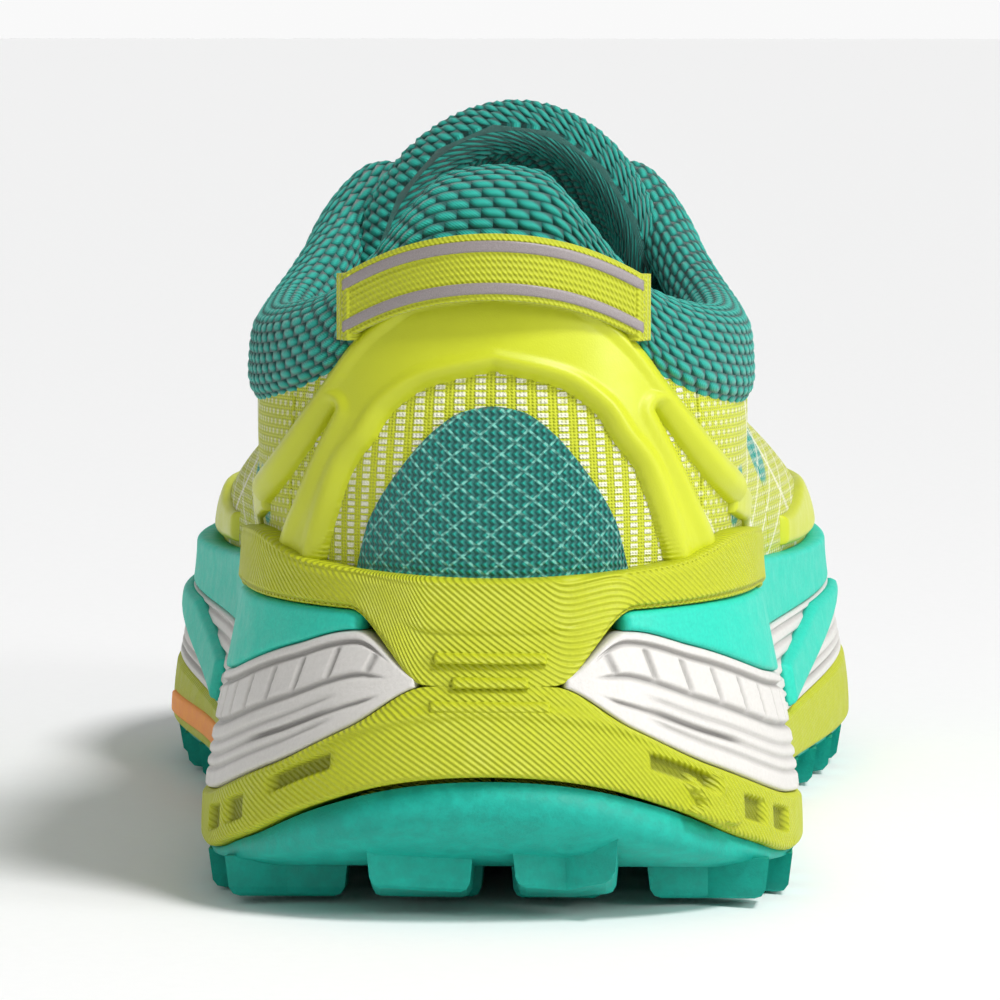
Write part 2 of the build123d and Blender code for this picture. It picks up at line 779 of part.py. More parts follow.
def toe_rand():
    """The guard round the toe and along the forefoot's edge."""
    low = height_v([(0.6, 41), (0.78, 41), (0.9, 45), (1, 51)])
    high = height_v([(0.6, 46), (0.7, 49), (0.85, 51), (0.95, 57), (1, 59.5)])
    halves = [layer(side * 0.6, side * 0.9985, low, high, 1.15, 2.4, rows=4) for side in (-1, 1)]
    return Compound(children=halves)


os.makedirs("parts", exist_ok=True)
for name, shape in build_parts().items():
    export_step(shape, f"parts/{name}.step")
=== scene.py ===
import math

import bpy
import numpy as np
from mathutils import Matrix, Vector


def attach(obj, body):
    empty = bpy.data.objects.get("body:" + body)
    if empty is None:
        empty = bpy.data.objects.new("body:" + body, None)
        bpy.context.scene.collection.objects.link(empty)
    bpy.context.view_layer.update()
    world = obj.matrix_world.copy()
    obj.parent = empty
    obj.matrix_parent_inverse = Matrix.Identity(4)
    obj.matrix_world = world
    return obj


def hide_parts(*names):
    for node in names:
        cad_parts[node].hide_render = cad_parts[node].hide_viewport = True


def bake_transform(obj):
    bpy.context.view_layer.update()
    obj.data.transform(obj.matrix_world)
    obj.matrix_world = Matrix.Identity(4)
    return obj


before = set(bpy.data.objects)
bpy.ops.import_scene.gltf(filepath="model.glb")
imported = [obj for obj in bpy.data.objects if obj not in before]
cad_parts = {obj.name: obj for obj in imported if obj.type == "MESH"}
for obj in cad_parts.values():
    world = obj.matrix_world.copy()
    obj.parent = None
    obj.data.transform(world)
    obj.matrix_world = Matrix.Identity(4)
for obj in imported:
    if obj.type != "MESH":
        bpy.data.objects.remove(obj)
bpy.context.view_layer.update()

# ---------------------------------------------------------------- the shoe's shape, in millimetres
# The same section planes as the CAD model: a station from 0 at the heel to 1 at the toe, negative on
# the lateral side; inside a plane, a depth in from the sole's outline and a height.

SIDES = ((-1, "lateral"), (1, "medial"))
HALF_LENGTH = 149.0
SIDE_LENGTH = 345.0  # along the outline, from heel to toe
HEEL_CENTRE_X = 4.5
PANEL = 1.0
LUG_DEPTH = 4.8
LUG_ROOT = 1.4  # how far a lug reaches up into the rubber
LATERAL_OUTLINE = [
    (-18, -143.5), (-34, -127), (-41.5, -103), (-43, -70), (-44, -25), (-51, 25),
    (-59.5, 66), (-57, 99), (-41, 130),
]
MEDIAL_OUTLINE = [
    (27, -143.5), (43, -127), (50.5, -103), (49.5, -70), (46.5, -30), (51, 15),
    (59.5, 66), (56, 103), (39, 132),
]
SPINE_Y = [
    (0, -104), (0.1, -103), (0.2, -98), (0.28, -78), (0.36, -52), (0.44, -24), (0.55, 12),
    (0.66, 48), (0.78, 84), (0.9, 103), (1, 107),
]
CRADLE_TOP = [
    (0, 51.5), (0.1, 53), (0.17, 56.5), (0.24, 55), (0.34, 47), (0.46, 43), (0.66, 40), (0.85, 42),
    (0.93, 46.5), (1, 51),
]
CRADLE_BOTTOM = [(0, 36.4), (0.03, 36.6), (0.075, 46.4), (0.2, 46.6), (0.3, 43), (0.42, 39)]
BAND_TOP = [
    (0, 36.2), (0.03, 35.6), (0.065, 29), (0.11, 22.5), (0.19, 15.5), (0.3, 13), (0.45, 14),
    (0.66, 18), (0.85, 23), (0.93, 32), (1, 38.5),
]
WEDGE_TOP = [
    (0.03, 36.9), (0.068, 43.4), (0.11, 40.5), (0.19, 34.4), (0.3, 31), (0.5, 30), (0.7, 31.5),
    (0.85, 34.5), (0.93, 39.5), (1, 44.5),
]
WALL_FLARE = [(0, 7), (0.2, 6.8), (0.36, 5), (0.7, 4.2), (1, 4.8)]
WALL_BACKING = 4.6
PANEL_GAP = 0.12  # round each white panel
RUBBER_BOTTOM = [
    (-160, 21), (-149, 15.5), (-141, 10.5), (-127, 6.4), (-108, 4.8), (20, 4.8), (80, 5.4),
    (108, 11), (132, 20.5), (149, 29), (160, 35),
]
RUBBER_TOP = [
    (-160, 30), (-149, 23.6), (-141, 18.6), (-127, 12), (-108, 8), (20, 7.8), (80, 8.6),
    (108, 14.2), (132, 24), (149, 33), (160, 39),
]
FOOTBED = [(-160, 40), (-90, 39), (-40, 36.5), (10, 33.5), (70, 33), (110, 36), (149, 44)]
FORM_SHARE = [
    [(0, 0.285), (0.2, 0.275), (0.36, 0.235), (0.55, 0.19), (0.78, 0.165), (1, 0.235)],
    [(0, 0.15), (0.2, 0.19), (0.36, 0.12), (0.55, 0.06), (0.78, 0.04), (1, 0.08)],
    [(0, 0.44), (0.1, 0.36), (0.2, 0.17), (0.28, 0.14), (0.36, 0.3), (0.44, 0.45), (0.6, 0.56), (1, 0.55)],
    [(0, 0.5), (0.1, 0.46), (0.2, 0.36), (0.28, 0.5), (0.36, 1), (1, 1)],
]
FORM_HEIGHT = [
    [(0, 40.5), (0.2, 40.5), (0.36, 38.5), (0.55, 35), (0.78, 35), (0.9, 39), (1, 44)],
    [(0, 68), (0.2, 62), (0.28, 62), (0.36, 66), (0.55, 62), (0.66, 55), (0.78, 51), (0.9, 54), (1, 58)],
    [
        (0, 90), (0.2, 95), (0.28, 100), (0.36, 119), (0.44, 107.5), (0.55, 91), (0.66, 76),
        (0.78, 66), (0.9, 62), (1, 61),
    ],
    [(0, 124), (0.28, 124), (0.36, 121), (0.44, 108), (0.55, 91), (0.66, 76), (0.78, 66), (0.9, 62), (1, 61)],
]
OPENING_HEIGHT = [
    (0, 113), (0.04, 112), (0.065, 107), (0.085, 101), (0.11, 95.5), (0.15, 92), (0.2, 90.5),
    (0.26, 91), (0.31, 95), (0.34, 101.5), (0.36, 108), (0.375, 111), (0.39, 108.5),
]
OPENING_SHARE = [(0.42, 0.55), (0.5, 0.62), (0.6, 0.68)]
COLLAR_DEPTH = 14.0
EAR_STATION = 0.395
THROAT_END = 0.62
HEEL_SEAM = 0.1405
QUARTER_START = 0.1407
QUARTER_END = 0.566
VAMP_START = 0.567
TOE_END = 0.9995
TONGUE_SINK = 5.6
TONGUE_BASE_Y = 42.0
TAB_WIDTH = 10.0
TAB_THICKNESS = 1.6
TAB_HEIGHT = 98.0
TAB_DROP = 6.5
TAB_STATION = 0.09
TAB_REST = 3.7
TAB_BOW = 3.4


def smooth(knots, level_ends=True):
    """A monotone cubic curve through (position, value) knots, for single values or arrays."""
    xs = np.array([k[0] for k in knots], float)
    ys = np.array([k[1] for k in knots], float)
    steps = np.diff(xs)
    rises = np.diff(ys) / steps
    slopes = np.zeros(len(xs))
    if not level_ends:
        slopes[0], slopes[-1] = rises[0], rises[-1]
    product = rises[:-1] * rises[1:]
    total = np.where(product > 0, rises[:-1] + rises[1:], 1.0)
    slopes[1:-1] = np.where(product > 0, 2 * product / total, 0.0)

    def value(x):
        x = np.clip(x, xs[0], xs[-1])
        i = np.clip(np.searchsorted(xs, x, side="right") - 1, 0, len(steps) - 1)
        t = (x - xs[i]) / steps[i]
        bend_a = ys[i] * (1 + 2 * t) + slopes[i] * steps[i] * t
        bend_b = ys[i + 1] * (3 - 2 * t) - slopes[i + 1] * steps[i] * (1 - t)
        return bend_a * (1 - t) ** 2 + bend_b * t**2

    return value


def closed_spline(points, samples=40):
    """Points along the closed curve of continuous curvature through the given points."""
    knots = np.array(points, float)
    spans = np.linalg.norm(np.roll(knots, -1, 0) - knots, axis=1) ** 0.5
    count = len(knots)
    matrix = np.zeros((count, count))
    right = np.zeros((count, 2))
    for i in range(count):
        before, after = spans[i - 1], spans[i]
        nxt = (i + 1) % count
        matrix[i, i - 1] += 1 / before
        matrix[i, i] += 2 / before + 2 / after
        matrix[i, nxt] += 1 / after
        right[i] = 3 * (knots[i] - knots[i - 1]) / before**2 + 3 * (knots[nxt] - knots[i]) / after**2
    slopes = np.linalg.solve(matrix, right)
    curve = []
    for i in range(count):
        nxt = (i + 1) % count
        for t in np.linspace(0, 1, samples, endpoint=False):
            start = knots[i] * (1 + 2 * t) + slopes[i] * spans[i] * t
            end = knots[nxt] * (3 - 2 * t) - slopes[nxt] * spans[i] * (1 - t)
            curve.append(start * (1 - t) ** 2 + end * t**2)
    return np.array(curve), samples * (len(LATERAL_OUTLINE) + 1)


def side_by_length(points):
    """One side of the outline as a function of the share of its length from heel to toe."""
    run = np.concatenate([[0], np.cumsum(np.linalg.norm(np.diff(points, axis=0), axis=1))])
    share = run / run[-1]
    return lambda s: np.stack([np.interp(s, share, points[:, 0]), np.interp(s, share, points[:, 1])], -1)


outline, toe_index = closed_spline(
    [(HEEL_CENTRE_X, -HALF_LENGTH)] + LATERAL_OUTLINE + [(HEEL_CENTRE_X, HALF_LENGTH)] + MEDIAL_OUTLINE[::-1]
)
middle = (outline.max(0) + outline.min(0)) / 2
outline = outline - middle
spine_x = HEEL_CENTRE_X - middle[0]
lateral_side = side_by_length(outline[: toe_index + 1])
medial_side = side_by_length(np.vstack([outline[toe_index:], outline[:1]])[::-1])
spine_y = smooth(SPINE_Y)
cradle_top = smooth(CRADLE_TOP)
cradle_bottom = smooth(CRADLE_BOTTOM)
band_top = smooth(BAND_TOP)
wedge_top = smooth(WEDGE_TOP)
wall_flare = smooth(WALL_FLARE)
rubber_bottom = smooth(RUBBER_BOTTOM, level_ends=False)
rubber_top = smooth(RUBBER_TOP, level_ends=False)
footbed = smooth(FOOTBED)
form_share = [smooth(knots) for knots in FORM_SHARE]
form_height = [smooth(knots) for knots in FORM_HEIGHT]


def section_plane(station):
    """For an array of stations: each plane's foot, inward direction and reach to the spine."""
    station = np.asarray(station, float)
    s = np.abs(station)
    foot = np.where((station < 0)[..., None], lateral_side(s), medial_side(s))
    target = np.stack([np.full(s.shape, spine_x), spine_y(s)], -1)
    reach = np.linalg.norm(target - foot, axis=-1)
    return foot, (target - foot) / reach[..., None], reach


def place(station, depth, height):
    foot, inward, _ = section_plane(station)
    flat = foot + inward * np.asarray(depth)[..., None]
    return np.concatenate([flat, np.broadcast_to(height, flat.shape[:-1])[..., None]], -1)


def form_point(station, v):
    s = np.abs(station)
    reach = section_plane(station)[2]
    weights = [(1 - v) ** 3, 3 * (1 - v) ** 2 * v, 3 * (1 - v) * v**2, v**3]
    depth = sum(w * share(s) for w, share in zip(weights, form_share)) * reach
    height = sum(w * z(s) for w, z in zip(weights, form_height))
    return depth, height


def layer_point(station, v, offset):
    """Points at an offset outwards from the foot form, inside their section planes."""
    station, v, offset = np.broadcast_arrays(
        np.asarray(station, float), np.asarray(v, float), np.asarray(offset, float)
    )
    step = 0.004
    before = form_point(station, np.maximum(v - step, 0))
    after = form_point(station, np.minimum(v + step, 1))
    along_depth, along_height = after[0] - before[0], after[1] - before[1]
    size = np.hypot(along_depth, along_height)
    depth, height = form_point(station, v)
    return place(
        station, depth - along_height / size * offset, height + along_depth / size * offset
    )


def v_where(station, index, wanted):
    """The v at which the form's depth share (0) or height (1) reaches a value."""
    samples = np.linspace(0, 1, 161)
    depth, height = form_point(np.full(161, station), samples)
    if index == 1:
        return float(np.interp(wanted, height, samples))
    share = depth / section_plane(station)[2]
    first = int(np.argmin(share))
    return float(np.interp(wanted, share[first:], samples[first:]))


opening_v = smooth(
    [(s, v_where(s, 1, z)) for s, z in OPENING_HEIGHT]
    + [(s, v_where(s, 0, share)) for s, share in OPENING_SHARE]
)


def height_v(heights):
    return smooth([(s, v_where(s, 1, z)) for s, z in heights])


def collar_seam(s):
    height = form_point(s, opening_v(s))[1]
    return v_where(s, 1, height - COLLAR_DEPTH)


collar_v = smooth([(s, collar_seam(s)) for s in np.linspace(0, EAR_STATION, 24)])
feather_v = height_v([(0, 43), (0.36, 41), (0.55, 37), (0.78, 37), (0.9, 41), (1, 46)])


def quarter_top(s):
    """Top edge of the quarter: the collar seam at the back, the throat edge in front."""
    blend = step_up(s, EAR_STATION + 0.01, EAR_STATION + 0.035)
    return (collar_v(s) + 0.01) * (1 - blend) + (opening_v(s) - 0.004) * blend


def wall_depth(station, height):
    """Depth of the sole's outer wall."""
    s = np.abs(station)
    low = rubber_top(place(station, np.zeros(np.shape(station)), 0.0)[..., 1])
    share = np.clip((height - low) / (cradle_top(s) - low), 0.0, 1.1)
    return wall_flare(s) * (1 - np.cos(np.pi * share)) / 2


def core_depth(station):
    return wall_flare(np.abs(station)) + WALL_BACKING


ridge_by_y = smooth(
    [
        (float(spine_y(s)), float(form_height[3](s)))
        for s in (0.36, 0.4, 0.44, 0.5, 0.55, 0.6, 0.66, 0.72, 0.78)
    ],
    level_ends=False,
)


# ---------------------------------------------------------------- meshes


def add_object(name, data):
    item = bpy.data.objects.new(name, data)
    bpy.context.scene.collection.objects.link(item)
    return item


def make_piece(name, points, faces, material, body="shoe", uv=None, masks=None):
    """A mesh object from millimetre points, with flat coordinates in millimetres and named masks."""
    mesh = bpy.data.meshes.new(name)
    mesh.from_pydata((np.asarray(points) * 0.001).tolist(), [], faces)
    mesh.update()
    loops = np.empty(len(mesh.loops), np.int32)
    mesh.loops.foreach_get("vertex_index", loops)
    if uv is not None:
        layer = mesh.uv_layers.new(name="flat")
        layer.data.foreach_set("uv", np.asarray(uv, np.float32)[loops].ravel())
    for key, values in (masks or {}).items():
        attribute = mesh.attributes.new(key, "FLOAT", "POINT")
        attribute.data.foreach_set("value", np.asarray(values, np.float32))
    mesh.shade_smooth()
    mesh.materials.append(material)
    piece = add_object(name, mesh)
    if body:
        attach(piece, body)
    return piece


def lengths(grid):
    """Coordinates in millimetres along the columns and rows of a grid of points."""
    across = np.linalg.norm(np.diff(grid, axis=0), axis=-1).mean(1)
    up = np.linalg.norm(np.diff(grid, axis=1), axis=-1)
    u = np.concatenate([[0], np.cumsum(across)])
    v = np.concatenate([np.zeros((len(grid), 1)), np.cumsum(up, 1)], 1)
    return np.stack([np.broadcast_to(u[:, None], v.shape), v], -1)


def quads(columns, rows, start=0, flip=False, wrap=False):
    faces = []
    for i in range(columns - (0 if wrap else 1)):
        for j in range(rows - 1):
            a = start + i * rows + j
            b = start + ((i + 1) % columns) * rows + j
            face = (a, b, b + 1, a + 1)
            faces.append(face[::-1] if flip else face)
    return faces


def closed_sheet(front, back):
    """Points and faces of a slab from a front and a back grid of the same size."""
    columns, rows = front.shape[:2]
    count = columns * rows
    points = np.concatenate([front.reshape(-1, 3), back.reshape(-1, 3)])
    faces = quads(columns, rows) + quads(columns, rows, start=count, flip=True)
    border = [i * rows for i in range(columns)]
    border += [(columns - 1) * rows + j for j in range(1, rows)]
    border += [i * rows + rows - 1 for i in range(columns - 2, -1, -1)]
    border += [j for j in range(rows - 2, 0, -1)]
    for a, b in zip(border, border[1:] + border[:1]):
        faces.append((b, a, a + count, b + count))
    return points, faces


def spread(count, edge=0.12):
    """Shares from 0 to 1 that crowd towards both ends."""
    t = np.linspace(0, 1, count)
    return t - edge * np.sin(2 * np.pi * t) / (2 * np.pi) * 4


def edge_drop(flat, radius):
    """How far a sheet's face falls to round its edges, from 0 inside to 1 at the border."""
    u_mm, v_mm = flat[-1, :, 0].mean(), flat[:, -1, 1]
    gap_u = np.minimum(flat[..., 0], u_mm - flat[..., 0])
    gap_v = np.minimum(flat[..., 1], v_mm[:, None] - flat[..., 1])
    t = np.clip(1 - np.minimum(gap_u, gap_v) / radius, 0, 1)
    return 1 - np.sqrt(np.clip(1 - t**2, 0, 1))


def panel(
    name, start, end, low, high, inner, outer, material,
    columns=80, rows=40, radius=0.7, relief=None, masks=None,
):
    """A sheet of the upper between two v curves, with rounded edges and an optional relief."""
    stations = start + (end - start) * spread(columns)
    share = spread(rows)
    s = np.abs(stations)
    v = low(s)[:, None] + (high(s) - low(s))[:, None] * share[None, :]
    station = np.broadcast_to(stations[:, None], v.shape)
    base = layer_point(station, v, outer)
    flat = lengths(base)
    drop = edge_drop(flat, radius) * (outer - inner) * 0.75
    extra = relief(station, v) if relief else 0.0
    front = layer_point(station, v, outer - drop + extra)
    back = layer_point(station, v, inner)
    points, faces = closed_sheet(front, back)
    if start > end:
        faces = [face[::-1] for face in faces]
    uv = np.concatenate([flat.reshape(-1, 2)] * 2)
    extra_masks = {}
    for key, rule in (masks or {}).items():
        values = rule(front).ravel()
        extra_masks[key] = np.concatenate([values, values])
    return make_piece(name, points, faces, material, "shoe", uv, extra_masks)


def wall(
    name, start, end, bottom, top, material,
    columns=120, rows=28, radius=0.8, relief=None, backing=4.0, proud=0.0, merge=0,
):
    """A piece of the sole's side with rounded edges and an optional relief.

    merge is 1 or -1 where the upper or lower edge runs on into its neighbour at the heel's waist.
    """
    stations = start + (end - start) * spread(columns, 0.06)
    s = np.abs(stations)
    share = spread(rows)
    height = bottom(s)[:, None] + (top(s) - bottom(s))[:, None] * share[None, :]
    station = np.broadcast_to(stations[:, None], height.shape)
    depth = wall_depth(station, height)
    base = place(station, depth, height)
    flat = lengths(base)
    drop = edge_drop(flat, radius) * radius
    shares = np.broadcast_to(share, height.shape)
    joined = (1 - step_up(s, 0.028, 0.05))[:, None] * ((shares - 0.5) * merge > 0)
    drop = drop * (1 - joined)
    proud = proud * (1 - step_up(-shares * merge, -0.5, -0.1) * joined)
    extra = relief(station, shares, height) if relief else 0.0 * height
    front = place(station, depth + drop - proud - extra, height)
    back = place(station, depth + backing, height)
    points, faces = closed_sheet(front, back)
    if start > end:
        faces = [face[::-1] for face in faces]
    uv = np.concatenate([flat.reshape(-1, 2)] * 2)
    # The depth of the relief's grooves, which the foam materials turn into painted shade.
    dent_shade = np.clip(-extra, 0, 1).ravel()
    return make_piece(name, points, faces, material, "shoe", uv, {"dent_shade": np.concatenate([dent_shade, dent_shade])})


def dip(x, centre, half_width):
    """A rounded groove of unit depth across a coordinate."""
    t = np.clip(1 - np.abs(x - centre) / half_width, 0, 1)
    return t * t * (3 - 2 * t)


def step_up(x, low, high):
    """0 below low, 1 above high and a smooth rise between them."""
    t = np.clip((x - low) / (high - low), 0, 1)
    return t * t * (3 - 2 * t)


def between(x, low, high, soft):
    """1 from low to high and 0 outside, with edges that are soft wide."""
    return step_up(x, low, low + soft) * (1 - step_up(x, high - soft, high))


# ---------------------------------------------------------------- materials


class Shader:
    """A short way to write node trees: a Principled surface and helpers that add nodes to it."""

    def __init__(self, name, rough=0.6, sheen=0.0, specular=0.5, coat=0.0):
        self.material = bpy.data.materials.new(name)
        self.material.use_nodes = True
        self.tree = self.material.node_tree
        self.surface = self.tree.nodes["Principled BSDF"]
        self.surface.inputs["Roughness"].default_value = rough
        self.surface.inputs["Sheen Weight"].default_value = sheen
        self.surface.inputs["Sheen Roughness"].default_value = 0.45
        self.surface.inputs["Specular IOR Level"].default_value = specular
        self.surface.inputs["Coat Weight"].default_value = coat
        self.surface.inputs["Coat Roughness"].default_value = 0.3

    def add(self, kind, **settings):
        node = self.tree.nodes.new(kind)
        for key, value in settings.items():
            setattr(node, key, value)
        return node

    def link(self, source, target):
        self.tree.links.new(source, target)

    def put(self, target, value):
        if isinstance(value, bpy.types.NodeSocket):
            self.link(value, target)
        else:
            target.default_value = value

    def math(self, operation, a, b=0.0):
        node = self.add("ShaderNodeMath", operation=operation)
        for socket, value in zip(node.inputs, (a, b)):
            self.put(socket, value)
        return node.outputs[0]

    def plus(self, a, b):
        return self.math("ADD", a, b)

    def minus(self, a, b):
        return self.math("SUBTRACT", a, b)

    def times(self, a, b):
        return self.math("MULTIPLY", a, b)

    def over(self, a, b):
        return self.math("DIVIDE", a, b)

    def flat(self):
        """The piece's flat coordinates in millimetres."""
        node = self.add("ShaderNodeUVMap", uv_map="flat")
        split = self.add("ShaderNodeSeparateXYZ")
        self.link(node.outputs[0], split.inputs[0])
        return split.outputs[0], split.outputs[1]

    def place(self):
        """Coordinates in the shoe's own space, in millimetres."""
        node = self.add("ShaderNodeTexCoord")
        scaled = self.add("ShaderNodeVectorMath", operation="SCALE")
        self.link(node.outputs["Object"], scaled.inputs[0])
        scaled.inputs["Scale"].default_value = 1000.0
        return scaled.outputs[0]

    def mask(self, name):
        return self.add("ShaderNodeAttribute", attribute_name=name).outputs["Fac"]

    def noise(self, vector, scale, detail=3.0, roughness=0.55):
        node = self.add("ShaderNodeTexNoise")
        self.put(node.inputs["Vector"], vector)
        node.inputs["Scale"].default_value = scale
        node.inputs["Detail"].default_value = detail
        node.inputs["Roughness"].default_value = roughness
        return node.outputs[0]

    def mix(self, factor, a, b):
        node = self.add("ShaderNodeMix", data_type="RGBA")
        self.put(node.inputs[0], factor)
        for socket, value in ((node.inputs[6], a), (node.inputs[7], b)):
            self.put(socket, value)
        return node.outputs[2]

    def range(self, value, low, high, to_low=0.0, to_high=1.0):
        node = self.add("ShaderNodeMapRange")
        for socket, entry in zip(node.inputs, (value, low, high, to_low, to_high)):
            self.put(socket, entry)
        return node.outputs[0]

    def wave(self, x, period):
        """0 to 1 and back over a period."""
        turned = self.times(x, 2 * math.pi / period)
        return self.range(self.math("SINE", turned), -1.0, 1.0)

    def color(self, value):
        self.put(self.surface.inputs["Base Color"], value)

    def rough(self, value):
        self.put(self.surface.inputs["Roughness"], value)

    def bump(self, height, distance, strength=1.0):
        node = self.add("ShaderNodeBump")
        node.inputs["Distance"].default_value = distance * 0.001
        node.inputs["Strength"].default_value = strength
        self.link(height, node.inputs["Height"])
        self.link(node.outputs[0], self.surface.inputs["Normal"])

    def varied(self, color, amount=0.12, scale=0.06):
        """A colour that shifts a little in brightness over the piece."""
        shade = tuple(c * (1 - amount) for c in color[:3]) + (1.0,)
        light = tuple(min(c * (1 + amount), 1.0) for c in color[:3]) + (1.0,)
        return self.mix(self.noise(self.place(), scale, 4.0), shade, light)


LIME = (0.53, 0.58, 0.010, 1.0)
# LIME_DEEP is the painted shade in the grooves of the lime foam and the lime webbing; it is also the foam's
# random speckle and the darker tone of the mesh's weave.
LIME_DEEP = (0.33, 0.36, 0.004, 1.0)
TEAL = (0.0, 0.33, 0.26, 1.0)
TEAL_LIGHT = (0.004, 0.43, 0.34, 1.0)
# TEAL_DARK is the painted shade in the grooves of the knit and the woven panel; it is also the darker tone of
# the weave on the mesh's teal patches.
TEAL_DARK = (0.0, 0.10, 0.085, 1.0)
FOAM_TEAL = (0.012, 0.58, 0.43, 1.0)
WHITE = (0.66, 0.64, 0.61, 1.0)
CREAM = (0.80, 0.80, 0.62, 1.0)
ORANGE = (0.90, 0.28, 0.02, 1.0)


def knit_material():
    """Padded knit: staggered scales about 3 mm wide, each crossed by fine threads, with painted shade in the
    grooves between the scales.
    """
    m = Shader("knit_teal", rough=0.75, sheen=0.25)
    u, v = m.flat()
    row = m.over(v, 1.6)
    shift = m.times(m.math("MODULO", m.math("FLOOR", row), 2.0), 0.5)
    column = m.plus(m.over(u, 2.9), shift)
    y = m.minus(m.math("FRACT", row), 0.5)
    x = m.plus(m.minus(m.math("FRACT", column), 0.5), m.times(y, 0.35))
    side_fall = m.math("POWER", m.times(m.math("ABSOLUTE", x), 2.1), 3.0)
    row_fall = m.math("POWER", m.times(m.math("ABSOLUTE", y), 1.9), 2.0)
    scale = m.minus(1.0, m.plus(side_fall, row_fall))
    threads = m.wave(m.plus(u, m.times(y, 1.6)), 0.42)
    height = m.plus(scale, m.times(threads, 0.12))
    # The grooves between the scales are mixed towards TEAL_DARK and the crests keep the teal: painted shade
    # in the grooves.
    lit = m.range(scale, 0.0, 0.9)
    patch = m.noise(m.place(), 0.05, 4.0)
    base = m.mix(patch, TEAL, TEAL_LIGHT)
    m.color(m.mix(lit, TEAL_DARK, base))
    m.rough(m.range(scale, 0.0, 1.0, 0.9, 0.62))
    m.bump(height, 0.55, 0.9)
    return m.material


def jacquard_material():
    """Lime engineered mesh: light dots, teal patches, cream lines and, on the heel, white bars."""
    m = Shader("mesh_lime", rough=0.7, sheen=0.2)
    u, v = m.flat()
    row = m.over(v, 1.5)
    shift = m.times(m.math("MODULO", m.math("FLOOR", row), 2.0), 0.5)
    x = m.minus(m.math("FRACT", m.plus(m.over(u, 1.9), shift)), 0.5)
    y = m.minus(m.math("FRACT", row), 0.5)
    radius = m.math("SQRT", m.plus(m.times(x, x), m.times(m.times(y, y), 0.7)))
    dot = m.range(radius, 0.30, 0.17)
    column = m.math("ABSOLUTE", m.minus(m.math("FRACT", m.over(u, 3.1)), 0.5))
    rung = m.math("ABSOLUTE", m.minus(m.math("FRACT", m.over(v, 1.05)), 0.5))
    bar = m.times(m.range(column, 0.29, 0.22), m.range(rung, 0.38, 0.28))
    striped = m.mask("stripe")
    light = m.plus(m.times(striped, bar), m.times(m.minus(0.6, striped), dot))
    weave = m.times(m.wave(u, 0.62), m.wave(v, 0.5))
    ground = m.mix(m.mask("teal"), m.varied(LIME, 0.14), TEAL)
    ground = m.mix(m.times(weave, 0.4), ground, m.mix(m.mask("teal"), LIME_DEEP, TEAL_DARK))
    dotted = m.mix(m.math("MAXIMUM", light, 0.0), ground, CREAM)
    m.color(m.mix(m.mask("cream"), dotted, CREAM))
    m.bump(m.plus(weave, m.times(light, 0.8)), 0.3, 0.8)
    return m.material


def dome_material():
    """Teal woven panel: ribs with painted shade in the hollows between them, crossed by fine light diagonal
    threads.
    """
    m = Shader("woven_teal", rough=0.72, sheen=0.2)
    u, v = m.flat()
    ribs = m.wave(m.plus(u, m.times(m.wave(v, 1.1), 0.3)), 1.15)
    rungs = m.wave(v, 1.1)
    # Where the ribs and rungs are low the colour goes to TEAL_DARK: painted shade in the weave's hollows.
    ground = m.mix(m.times(ribs, rungs), TEAL_DARK, TEAL)
    slant_a = m.math("FRACT", m.over(m.plus(u, m.times(v, 1.25)), 4.2))
    slant_b = m.math("FRACT", m.over(m.minus(u, m.times(v, 1.25)), 6.8))
    line_a = m.range(m.math("ABSOLUTE", m.minus(slant_a, 0.5)), 0.09, 0.05)
    line_b = m.range(m.math("ABSOLUTE", m.minus(slant_b, 0.5)), 0.05, 0.03)
    lines = m.math("MAXIMUM", line_a, line_b)
    broken = m.times(lines, m.range(rungs, 0.15, 0.5, 0.35, 1.0))
    m.color(m.mix(m.times(broken, 0.6), ground, (0.25, 0.66, 0.55, 1.0)))
    m.bump(m.plus(ribs, m.times(rungs, 0.6)), 0.35, 0.9)
    return m.material


def overlay_material():
    """Satin moulded film with a faint grain."""
    m = Shader("tpu_lime", rough=0.42, specular=0.5, coat=0.12)
    m.color(m.varied(LIME, 0.1, 0.035))
    grain = m.noise(m.place(), 4.0, 2.0)
    m.rough(m.range(m.noise(m.place(), 0.25, 3.0), 0.3, 0.7, 0.36, 0.5))
    m.bump(grain, 0.05, 0.5)
    return m.material


def foam_material(name, base, shade, ribs=True, rough=0.55):
    """Moulded foam: a skin with fine slanted ribs, with painted shade in the grooves between the ribs and in
    the dents of the relief.
    """
    m = Shader(name, rough=rough)
    u, v = m.flat()
    speck = m.noise(m.place(), 1.8, 4.0)
    colour = m.mix(m.range(speck, 0.3, 0.7, 0.0, 0.3), base, shade)
    if ribs:
        rib = m.wave(m.plus(u, m.times(v, 1.3)), 1.25)
        # Darker where the ribs are low: painted shade in their grooves.
        colour = m.mix(m.times(m.minus(1.0, rib), 0.28), colour, shade)
        m.bump(m.plus(rib, m.times(speck, 0.3)), 0.28, 0.8)
    else:
        m.bump(speck, 0.12, 0.6)
    # The relief's dents are mixed towards a dark copy of the shade colour: painted shade in the grooves.
    dark = tuple(c * 0.35 for c in shade[:3]) + (1.0,)
    colour = m.mix(m.times(m.mask("dent_shade"), 0.75), colour, dark)
    m.color(colour)
    m.rough(m.range(m.noise(m.place(), 0.3, 3.0), 0.3, 0.7, rough - 0.07, rough + 0.1))
    return m.material


def rubber_material(name, base, shade):
    """Outsole rubber: matte, scuffed lighter here and there."""
    m = Shader(name, rough=0.6, specular=0.4)
    scuff = m.noise(m.place(), 0.4, 6.0, 0.7)
    m.color(m.mix(m.range(scuff, 0.42, 0.7), base, shade))
    m.rough(m.range(scuff, 0.3, 0.7, 0.5, 0.72))
    m.bump(m.noise(m.place(), 2.6, 4.0), 0.12, 0.6)
    return m.material


